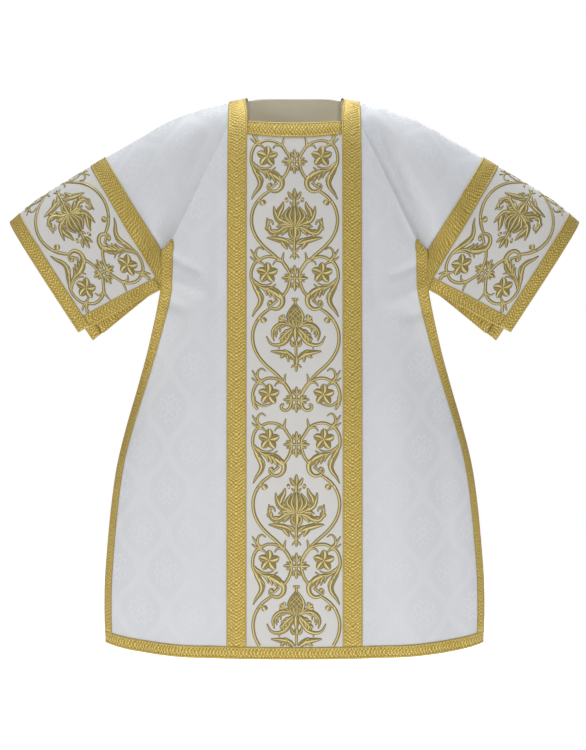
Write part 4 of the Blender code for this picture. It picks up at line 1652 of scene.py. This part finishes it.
class Wiring:
    """A material whose nodes are set out by short calls."""

    def __init__(self, name, roughness, metallic=0.0, sheen=0.0):
        self.material = bpy.data.materials.new(name)
        self.material.use_nodes = True
        self.tree = self.material.node_tree
        self.shader = self.tree.nodes["Principled BSDF"]
        self.shader.inputs["Roughness"].default_value = roughness
        self.shader.inputs["Metallic"].default_value = metallic
        self.shader.inputs["Sheen Weight"].default_value = sheen
        self.shader.inputs["Sheen Roughness"].default_value = SHEEN_ROUGHNESS

    def node(self, kind, **values):
        made = self.tree.nodes.new(kind)
        for key, value in values.items():
            setattr(made, key, value)
        return made

    def feed(self, socket, value):
        if isinstance(value, bpy.types.NodeSocket):
            self.tree.links.new(value, socket)
        else:
            socket.default_value = value

    def maths(self, operation, *values):
        made = self.node("ShaderNodeMath", operation=operation)
        for socket, value in zip(made.inputs, values):
            self.feed(socket, value)
        return made.outputs[0]

    def total(self, *values):
        result = values[0]
        for value in values[1:]:
            result = self.maths("ADD", result, value)
        return result

    def wave(self, place, pitch):
        """A sine of a length, from 0 to 1."""
        turned = self.maths("SINE", self.maths("MULTIPLY", place, 2.0 * math.pi / pitch))
        return self.maths("MULTIPLY_ADD", turned, 0.5, 0.5)

    def line_at(self, distance, middle, half):
        """1 on a line at a distance, falling to 0 beside it."""
        away = self.maths("ABSOLUTE", self.maths("SUBTRACT", distance, middle))
        made = self.maths("SUBTRACT", 1.0, self.maths("DIVIDE", away, half))
        return self.maths("MAXIMUM", made, 0.0)

    def cloth_place(self):
        """Cloth coordinates in metres, across and along."""
        read = self.node("ShaderNodeUVMap", uv_map=UV_NAME)
        split = self.node("ShaderNodeSeparateXYZ")
        self.feed(split.inputs[0], read.outputs[0])
        return split.outputs[0], split.outputs[1]

    def noise(self, scale, detail=2.0):
        place = self.node("ShaderNodeTexCoord")
        made = self.node("ShaderNodeTexNoise")
        self.feed(made.inputs["Vector"], place.outputs["Object"])
        made.inputs["Scale"].default_value = scale
        made.inputs["Detail"].default_value = detail
        return made.outputs[0]

    def blend(self, share, first, second):
        made = self.node("ShaderNodeMix", data_type="RGBA", clamp_factor=True)
        self.feed(made.inputs[0], share)
        self.feed(made.inputs[MIX_FIRST], first)
        self.feed(made.inputs[MIX_SECOND], second)
        return made.outputs[MIX_RESULT]

    def colour(self, value):
        self.feed(self.shader.inputs["Base Color"], value)

    def roughness(self, value):
        self.feed(self.shader.inputs["Roughness"], value)

    def bump(self, height, distance, strength=1.0):
        made = self.node("ShaderNodeBump")
        made.inputs["Distance"].default_value = distance
        made.inputs["Strength"].default_value = strength
        self.feed(made.inputs["Height"], height)
        self.feed(self.shader.inputs["Normal"], made.outputs[0])


def shade(colour, factor):
    """A lighter or darker version of a colour."""
    return tuple(min(part * factor, 1.0) for part in colour[:3]) + (1.0,)


def damask_figure(wiring, across, length, width, height):
    """Ogee lattice of scalloped lines with a flower and leaf ring in each field."""
    step = wiring.maths("DIVIDE", across, width * 0.5)
    folded = wiring.maths("PINGPONG", wiring.maths("ADD", step, 0.5), 1.0)
    folded = wiring.maths("SUBTRACT", folded, 0.5)
    swing = wiring.maths("COSINE", wiring.maths("MULTIPLY", length, 2.0 * math.pi / height))
    border = wiring.maths("SUBTRACT", folded, wiring.maths("MULTIPLY", swing, DAMASK_SWING))
    border = wiring.maths("MULTIPLY", wiring.maths("ABSOLUTE", border), width * 0.5)
    scallop = wiring.maths("SINE", wiring.maths("MULTIPLY", length, math.pi / SCALLOP))
    scallop = wiring.maths("MULTIPLY", wiring.maths("ABSOLUTE", scallop), -SCALLOP_RISE)
    border = wiring.maths("ADD", border, scallop)
    lines = [wiring.line_at(border, place, DAMASK_LINE) for place in DAMASK_LINES]
    side = wiring.maths("MULTIPLY", wiring.maths("SIGN", swing), 0.5)
    x = wiring.maths("MULTIPLY", wiring.maths("ADD", folded, side), width * 0.5)
    y = wiring.maths("WRAP", length, height / 4.0, -height / 4.0)
    radius = wiring.maths("SQRT", wiring.total(
        wiring.maths("MULTIPLY", x, x), wiring.maths("MULTIPLY", y, y),
    ))
    angle = wiring.maths("ARCTAN2", y, x)
    for size, lobes, depth in DAMASK_FLOWERS:
        petals = wiring.maths("COSINE", wiring.maths("MULTIPLY", angle, lobes))
        outline = wiring.maths("MULTIPLY_ADD", petals, size * depth, size * (1.0 - depth))
        gap = wiring.maths("SUBTRACT", radius, outline)
        lines.append(wiring.line_at(gap, 0.0, DAMASK_LINE * FLOWER_LINE))
        lines.append(wiring.line_at(gap, -DAMASK_LINE * VEIN_STEP, DAMASK_LINE * VEIN_LINE))
    figure = lines[0]
    for line in lines[1:]:
        figure = wiring.maths("MAXIMUM", figure, line)
    return figure


def weave(wiring, across, length, pitch):
    """Plain weave, from 0 to 1."""
    over = wiring.wave(across, pitch)
    under = wiring.wave(length, pitch)
    return wiring.maths("MULTIPLY", over, under)


def clouded(wiring, colour, kind):
    """A colour that is a little uneven over the cloth."""
    scale, detail, low, high = CLOUDS[kind]
    cloudy = wiring.noise(scale, detail)
    return wiring.blend(cloudy, shade(colour, low), shade(colour, high))


def damask_finish(sizes, colours):
    """White figured silk: the figure is glossier and a little lighter, with a painted sheen that
    lightens it more where the cloth turns away.
    """
    wiring = Wiring("white_damask_cloth", 0.5, sheen=DAMASK_SHEEN)
    across, length = wiring.cloth_place()
    figure = damask_figure(wiring, across, length, sizes.damask_width, sizes.damask_height)
    ground = clouded(wiring, colours.white, "damask")
    # Painted sheen: the figure is painted lighter still where the cloth turns from the view
    turned = wiring.node("ShaderNodeLayerWeight").outputs["Facing"]
    figure_and_painted_sheen = wiring.maths("MULTIPLY_ADD", turned, DAMASK_PAINTED_SHEEN, DAMASK_FACED)
    figure_and_painted_sheen = wiring.maths("MULTIPLY", figure, figure_and_painted_sheen)
    wiring.colour(wiring.blend(figure_and_painted_sheen, ground, shade(colours.white, DAMASK_FIGURE_AND_SHEEN_TONE)))
    wiring.roughness(wiring.maths("MULTIPLY_ADD", figure, -DAMASK_GLOSS, DAMASK_ROUGHNESS))
    relief = wiring.total(
        wiring.maths("MULTIPLY", figure, DAMASK_RISE),
        wiring.maths("MULTIPLY", weave(wiring, across, length, THREAD_PITCH), DAMASK_WEAVE),
    )
    wiring.bump(relief, *RELIEFS["damask"])
    return wiring.material


def plain_finish(name, colour, roughness):
    """Plain woven cloth for the lining and the neck facing."""
    wiring = Wiring(name, roughness, sheen=PLAIN_SHEEN)
    across, length = wiring.cloth_place()
    wiring.colour(clouded(wiring, colour, "plain"))
    wiring.bump(weave(wiring, across, length, THREAD_PITCH), *RELIEFS["plain"])
    return wiring.material


def orphrey_finish(colours):
    """Ivory ribbed silk under the embroidery."""
    wiring = Wiring("ivory_orphrey_cloth", 0.5, sheen=ORPHREY_SHEEN)
    across, length = wiring.cloth_place()
    rib = wiring.wave(length, RIB_PITCH)
    ground = clouded(wiring, colours.ivory, "orphrey")
    # Painted highlight on the crest of each rib
    lit = wiring.maths("MULTIPLY", rib, RIB_SHARE)
    wiring.colour(wiring.blend(lit, ground, shade(colours.ivory, RIB_PAINTED_HIGHLIGHT)))
    threads = wiring.wave(across, THREAD_PITCH)
    relief = wiring.total(rib, wiring.maths("MULTIPLY", threads, RIB_THREADS))
    wiring.bump(relief, *RELIEFS["orphrey"])
    return wiring.material


def galloon_finish(colours):
    """Gold braid: corded edges and a chevron ground of metal thread, with painted shade in the
    hollows of the weave and painted glints on its crests.
    """
    wiring = Wiring("gold_galloon_braid", 0.5, metallic=GALLOON_METAL, sheen=PLAIN_SHEEN)
    across, length = wiring.cloth_place()
    drift = wiring.maths("MULTIPLY", wiring.noise(WEAVE_NOISE), WEAVE_DRIFT)
    drifted = wiring.maths("ADD", length, drift)
    slanted = wiring.maths("MULTIPLY", across, WEAVE_SLANT)
    rising = wiring.wave(wiring.maths("ADD", drifted, slanted), LOZENGE_PITCH)
    falling = wiring.wave(wiring.maths("SUBTRACT", drifted, slanted), LOZENGE_PITCH)
    lozenge = wiring.maths("MULTIPLY_ADD", falling, WEAVE_FALLING, rising)
    knot = wiring.maths("MULTIPLY", rising, falling)
    twisted = wiring.total(length, wiring.maths("MULTIPLY", across, ROPE_SLANT))
    rope = wiring.wave(twisted, ROPE_PITCH)
    on_rope = wiring.maths("LESS_THAN", across, ROPE_WIDTH)
    on_ground = wiring.maths("SUBTRACT", 1.0, on_rope)
    weave_and_painted_shade = wiring.total(
        wiring.maths("MULTIPLY", rope, on_rope), wiring.maths("MULTIPLY", lozenge, on_ground),
    )
    glint = wiring.total(
        wiring.maths("MULTIPLY", wiring.maths("MULTIPLY", rope, 0.5), on_rope),
        wiring.maths("MULTIPLY", knot, on_ground),
    )
    painted_glint_mask = wiring.noise(PAINTED_GLINT_NOISE, 1.0)
    painted_glint_mask = wiring.maths("MULTIPLY", wiring.maths("SUBTRACT", painted_glint_mask, 0.5), PAINTED_GLINT_SHARPNESS)
    painted_glint_mask = wiring.maths("MULTIPLY_ADD", glint, PAINTED_GLINT_GATHER, painted_glint_mask)
    painted_glint_mask = wiring.maths("SUBTRACT", painted_glint_mask, PAINTED_GLINT_START)
    # Painted shade: the hollows of the weave are painted darker, and painted glints are then laid
    # over the crests
    base = wiring.blend(weave_and_painted_shade, tuple(colours.gold_painted_shade), tuple(colours.gold_mid))
    wiring.colour(wiring.blend(painted_glint_mask, base, tuple(colours.gold_painted_glint)))
    threads = wiring.wave(length, THREAD_PITCH)
    relief = wiring.total(weave_and_painted_shade, wiring.maths("MULTIPLY", threads, WEAVE_THREADS))
    wiring.bump(relief, *RELIEFS["galloon"])
    return wiring.material


def thread_finish(name, colour, metallic):
    """Laid metal thread, the stitches running across each stroke."""
    wiring = Wiring(name, THREAD_ROUGHNESS, metallic=metallic, sheen=PLAIN_SHEEN)
    across, length = wiring.cloth_place()
    slanted = wiring.total(length, wiring.maths("MULTIPLY", across, 0.5))
    stitches = wiring.wave(slanted, STITCH_PITCH)
    # Painted highlight on the crest of each stitch and painted shade between them
    low, high = THREAD_PAINTED_SHADE_AND_HIGHLIGHT
    wiring.colour(wiring.blend(stitches, shade(colour, low), shade(colour, high)))
    wiring.bump(stitches, *RELIEFS["thread"])
    return wiring.material


def floor_finish():
    """The studio floor, bright enough to run into the backdrop."""
    wiring = Wiring("studio_floor", FLOOR_ROUGHNESS)
    tone = wiring.noise(FLOOR_CLOUDS)
    low, high = FLOOR_SHADES
    wiring.colour(wiring.blend(tone, shade(WHITE, low), shade(WHITE, high)))
    wiring.shader.inputs["Emission Color"].default_value = WHITE
    wiring.shader.inputs["Emission Strength"].default_value = FLOOR_GLOW
    return wiring.material


# ---------------------------------------------------------------------------
# Sizes and colours that a user may change
# ---------------------------------------------------------------------------


def colour_property(name, description, default):
    return bpy.props.FloatVectorProperty(
        name=name, description=description, default=default + (1.0,),
        size=4, min=0.0, max=1.0, subtype="COLOR",
    )


class DalmaticSizes(bpy.types.PropertyGroup):
    """Sizes of the finish of the garment."""

    fold_strength: bpy.props.FloatProperty(
        name="Folds", description="Depth of the soft folds, 1 as it hangs on a wearer",
        default=1.0, min=0.0, max=2.0, subtype="FACTOR",
    )
    thread_height: bpy.props.FloatProperty(
        name="Thread height", description="How far the embroidery stands off its ground",
        default=0.0010, min=0.0003, max=0.003, unit="LENGTH",
    )
    damask_width: bpy.props.FloatProperty(
        name="Damask width", description="Width of one repeat of the white figure",
        default=0.116, min=0.03, max=0.4, unit="LENGTH",
    )
    damask_height: bpy.props.FloatProperty(
        name="Damask height", description="Height of one repeat of the white figure",
        default=0.164, min=0.03, max=0.6, unit="LENGTH",
    )


class DalmaticColours(bpy.types.PropertyGroup):
    """Colours of the cloths, galloons and threads."""

    white: colour_property("Damask", "White body cloth", (0.690, 0.695, 0.715))
    lining: colour_property("Lining", "Inside of the body and sleeves", (0.84, 0.78, 0.64))
    ivory: colour_property("Orphrey", "Ivory ground of the columns and cuffs", (0.675, 0.655, 0.625))
    facing: colour_property("Facing", "Inside of the back neck", (0.84, 0.80, 0.66))
    gold_mid: colour_property("Galloon", "Gold of the galloons", (0.58, 0.41, 0.070))
    # Painted shade in the hollows of the weave, and painted glints on the metal thread
    gold_painted_shade: colour_property("Galloon shade", "Hollows of the weave", (0.33, 0.21, 0.025))
    gold_painted_glint: colour_property("Galloon glint", "Bright metal threads", (0.96, 0.84, 0.38))
    thread: colour_property("Thread", "Gold of the embroidery", (0.46, 0.345, 0.105))
    # Painted highlight on the side of each stroke towards the light; the outline colour is the dark
    # outline thread and also paints shade on the far side of cords and in leaf veins
    thread_painted_highlight: colour_property("Thread glint", "Bright side of a stroke", (0.78, 0.67, 0.31))
    thread_outline_and_shade_colour: colour_property("Thread outline", "Outline of a stroke", (0.25, 0.19, 0.06))


def settings():
    scene = bpy.context.scene
    return scene.dalmatic_sizes, scene.dalmatic_colours


@functools.lru_cache(maxsize=None)
def finish_of(kind):
    """Each finish is made once and shared by the pieces that have it."""
    sizes, colours = settings()
    makers = {
        "damask": lambda: damask_finish(sizes, colours),
        "lining": lambda: plain_finish(
            "white_lining_cloth", colours.lining, LINING_ROUGHNESS
        ),
        "facing": lambda: plain_finish(
            "neck_facing_cloth", colours.facing, FACING_ROUGHNESS
        ),
        "orphrey": lambda: orphrey_finish(colours),
        "galloon": lambda: galloon_finish(colours),
        # The outline finish is the dark outline thread and also the painted shade of the strokes;
        # the bright finish is their painted highlight
        "outline": lambda: thread_finish("thread_outline_and_painted_shade", colours.thread_outline_and_shade_colour, OUTLINE_METAL),
        "gold": lambda: thread_finish("thread_gold", colours.thread, THREAD_METAL),
        "bright": lambda: thread_finish("thread_painted_highlight_gold", colours.thread_painted_highlight, THREAD_METAL),
    }
    return makers[kind]()


def thread_finishes():
    return [finish_of("outline"), finish_of("gold"), finish_of("bright")]


# ---------------------------------------------------------------------------
# Operators
# ---------------------------------------------------------------------------


class SewPanels(bpy.types.Operator):
    """Sew the front and back body panels with their lining"""

    bl_idname = "dalmatic.sew_panels"
    bl_label = "Body panels"

    def execute(self, context):
        strength = context.scene.dalmatic_sizes.fold_strength
        finishes = [finish_of("damask"), finish_of("lining")]
        for face in FACES:
            panel = sew_panel(face, strength, finishes)
        return {"FINISHED"}


class SewOrphreys(bpy.types.Operator):
    """Sew the ivory columns down the front and the back"""

    bl_idname = "dalmatic.sew_orphreys"
    bl_label = "Orphreys"

    def execute(self, context):
        strength = context.scene.dalmatic_sizes.fold_strength
        for face in FACES:
            orphrey = sew_orphrey(face, strength, finish_of("orphrey"))
        return {"FINISHED"}


class SewSleeves(bpy.types.Operator):
    """Sew both sleeves and the ivory panels round their cuffs"""

    bl_idname = "dalmatic.sew_sleeves"
    bl_label = "Sleeves"

    def execute(self, context):
        strength = context.scene.dalmatic_sizes.fold_strength
        for side, word in SIDES:
            finishes = [finish_of("damask"), finish_of("lining")]
            sleeve = sew_sleeve(side, word, strength, finishes)
            cuff = sew_cuff_orphrey(side, word, strength, finish_of("orphrey"))
        return {"FINISHED"}


class SewGalloons(bpy.types.Operator):
    """Sew the gold galloons of the body: clavi, neck, hems and sides"""

    bl_idname = "dalmatic.sew_galloons"
    bl_label = "Body galloons"

    def execute(self, context):
        strength = context.scene.dalmatic_sizes.fold_strength
        gold = finish_of("galloon")
        for side, word in SIDES:
            sew_clavus(side, word, strength, gold)
        for face in FACES:
            sew_neck(face, strength, gold)
            sew_hem(face, strength, gold)
            for side, word in SIDES:
                sew_side(face, side, word, strength, gold)
        return {"FINISHED"}


class SewSleeveGalloons(bpy.types.Operator):
    """Sew the gold galloons of the sleeves: bands, cuffs and lower edges"""

    bl_idname = "dalmatic.sew_sleeve_galloons"
    bl_label = "Sleeve galloons"

    def execute(self, context):
        strength = context.scene.dalmatic_sizes.fold_strength
        gold = finish_of("galloon")
        for side, word in SIDES:
            sew_band(side, word, strength, gold)
            sew_cuff(side, word, strength, gold)
            for face in FACES:
                sew_underarm(face, side, word, strength, gold)
        return {"FINISHED"}


class SewFacing(bpy.types.Operator):
    """Sew the facing inside the back of the neck"""

    bl_idname = "dalmatic.sew_facing"
    bl_label = "Neck facing"

    def execute(self, context):
        strength = context.scene.dalmatic_sizes.fold_strength
        facing = sew_facing(strength, finish_of("facing"))
        return {"FINISHED"}


class EmbroiderColumns(bpy.types.Operator):
    """Embroider the figured design down the front and the back"""

    bl_idname = "dalmatic.embroider_columns"
    bl_label = "Column embroidery"

    def execute(self, context):
        sizes = context.scene.dalmatic_sizes
        for face in FACES:
            embroider_column(face, sizes.fold_strength, sizes.thread_height, thread_finishes())
        return {"FINISHED"}


class EmbroiderCuffs(bpy.types.Operator):
    """Embroider the figured design round both cuffs"""

    bl_idname = "dalmatic.embroider_cuffs"
    bl_label = "Cuff embroidery"

    def execute(self, context):
        sizes = context.scene.dalmatic_sizes
        for side, word in SIDES:
            embroider_cuff(
                side, word, sizes.fold_strength, sizes.thread_height, thread_finishes()
            )
        return {"FINISHED"}


def add_light(name, place, aim, width, power, colour):
    """A square soft light that faces a point."""
    data = bpy.data.lights.new(name, "AREA")
    data.shape = "SQUARE"
    data.size = width
    data.energy = power
    data.color = colour
    light = bpy.data.objects.new(name, data)
    bpy.context.scene.collection.objects.link(light)
    light.location = place
    way = Vector(aim) - Vector(place)
    light.rotation_mode = "QUATERNION"
    light.rotation_quaternion = way.to_track_quat("-Z", "Y")


def add_world():
    """Even light from a white room, seen as white by the camera."""
    world = bpy.data.worlds.new("studio_room")
    bpy.context.scene.world = world
    world.use_nodes = True
    tree = world.node_tree
    room = tree.nodes["Background"]
    room.inputs[0].default_value = ROOM_TINT
    room.inputs[1].default_value = ROOM_LIGHT
    seen = tree.nodes.new("ShaderNodeBackground")
    seen.inputs[0].default_value = WHITE
    path = tree.nodes.new("ShaderNodeLightPath")
    mixer = tree.nodes.new("ShaderNodeMixShader")
    tree.links.new(path.outputs["Is Camera Ray"], mixer.inputs[0])
    tree.links.new(room.outputs[0], mixer.inputs[1])
    tree.links.new(seen.outputs[0], mixer.inputs[2])
    tree.links.new(mixer.outputs[0], tree.nodes["World Output"].inputs[0])


class SetStage(bpy.types.Operator):
    """Set the floor, the room, the lights and the camera"""

    bl_idname = "dalmatic.set_stage"
    bl_label = "Stage"

    def execute(self, context):
        scene = context.scene
        scene.view_settings.view_transform = "Standard"
        mesh_data = bmesh.new()
        bmesh.ops.create_circle(
            mesh_data, cap_ends=True, segments=FLOOR_SIDES, radius=FLOOR_RADIUS
        )
        mesh = bpy.data.meshes.new("studio_floor")
        mesh_data.to_mesh(mesh)
        mesh_data.free()
        mesh.materials.append(floor_finish())
        floor = bpy.data.objects.new("studio_floor", mesh)
        floor.location = (0.0, 0.0, FLOOR_HEIGHT)
        scene.collection.objects.link(floor)
        add_world()
        for row in LIGHTS:
            add_light(*row)
        data = bpy.data.cameras.new("studio_camera")
        data.lens = CAMERA_LENS
        data.sensor_width = CAMERA_SENSOR
        camera = bpy.data.objects.new("studio_camera", data)
        camera.location = CAMERA_PLACE
        camera.rotation_euler = (math.pi / 2.0, 0.0, 0.0)
        scene.collection.objects.link(camera)
        scene.camera = camera
        return {"FINISHED"}


class DalmaticPanel(bpy.types.Panel):
    """Steps of making the garment"""

    bl_idname = "VIEW3D_PT_dalmatic"
    bl_label = "Dalmatic"
    bl_space_type = "VIEW_3D"
    bl_region_type = "UI"
    bl_category = "Dalmatic"

    def draw(self, context):
        for step in STEPS:
            self.layout.operator(step.bl_idname)
        sizes, colours = settings()
        for group in (sizes, colours):
            box = self.layout.box()
            for key in group.__annotations__:
                box.prop(group, key)


STEPS = (
    SewPanels, SewOrphreys, SewSleeves, SewGalloons, SewSleeveGalloons, SewFacing,
    EmbroiderColumns, EmbroiderCuffs, SetStage,
)
CLASSES = (DalmaticSizes, DalmaticColours) + STEPS + (DalmaticPanel,)


def register():
    for each in CLASSES:
        bpy.utils.register_class(each)
    bpy.types.Scene.dalmatic_sizes = bpy.props.PointerProperty(type=DalmaticSizes)
    bpy.types.Scene.dalmatic_colours = bpy.props.PointerProperty(type=DalmaticColours)


def unregister():
    del bpy.types.Scene.dalmatic_colours
    del bpy.types.Scene.dalmatic_sizes
    for each in reversed(CLASSES):
        bpy.utils.unregister_class(each)


def main():
    register()
    steps = bpy.ops.dalmatic
    steps.sew_panels()
    steps.sew_orphreys()
    steps.sew_sleeves()
    steps.sew_galloons()
    steps.sew_sleeve_galloons()
    steps.sew_facing()
    steps.embroider_columns()
    steps.embroider_cuffs()
    steps.set_stage()


if __name__ == "__main__":
    main()
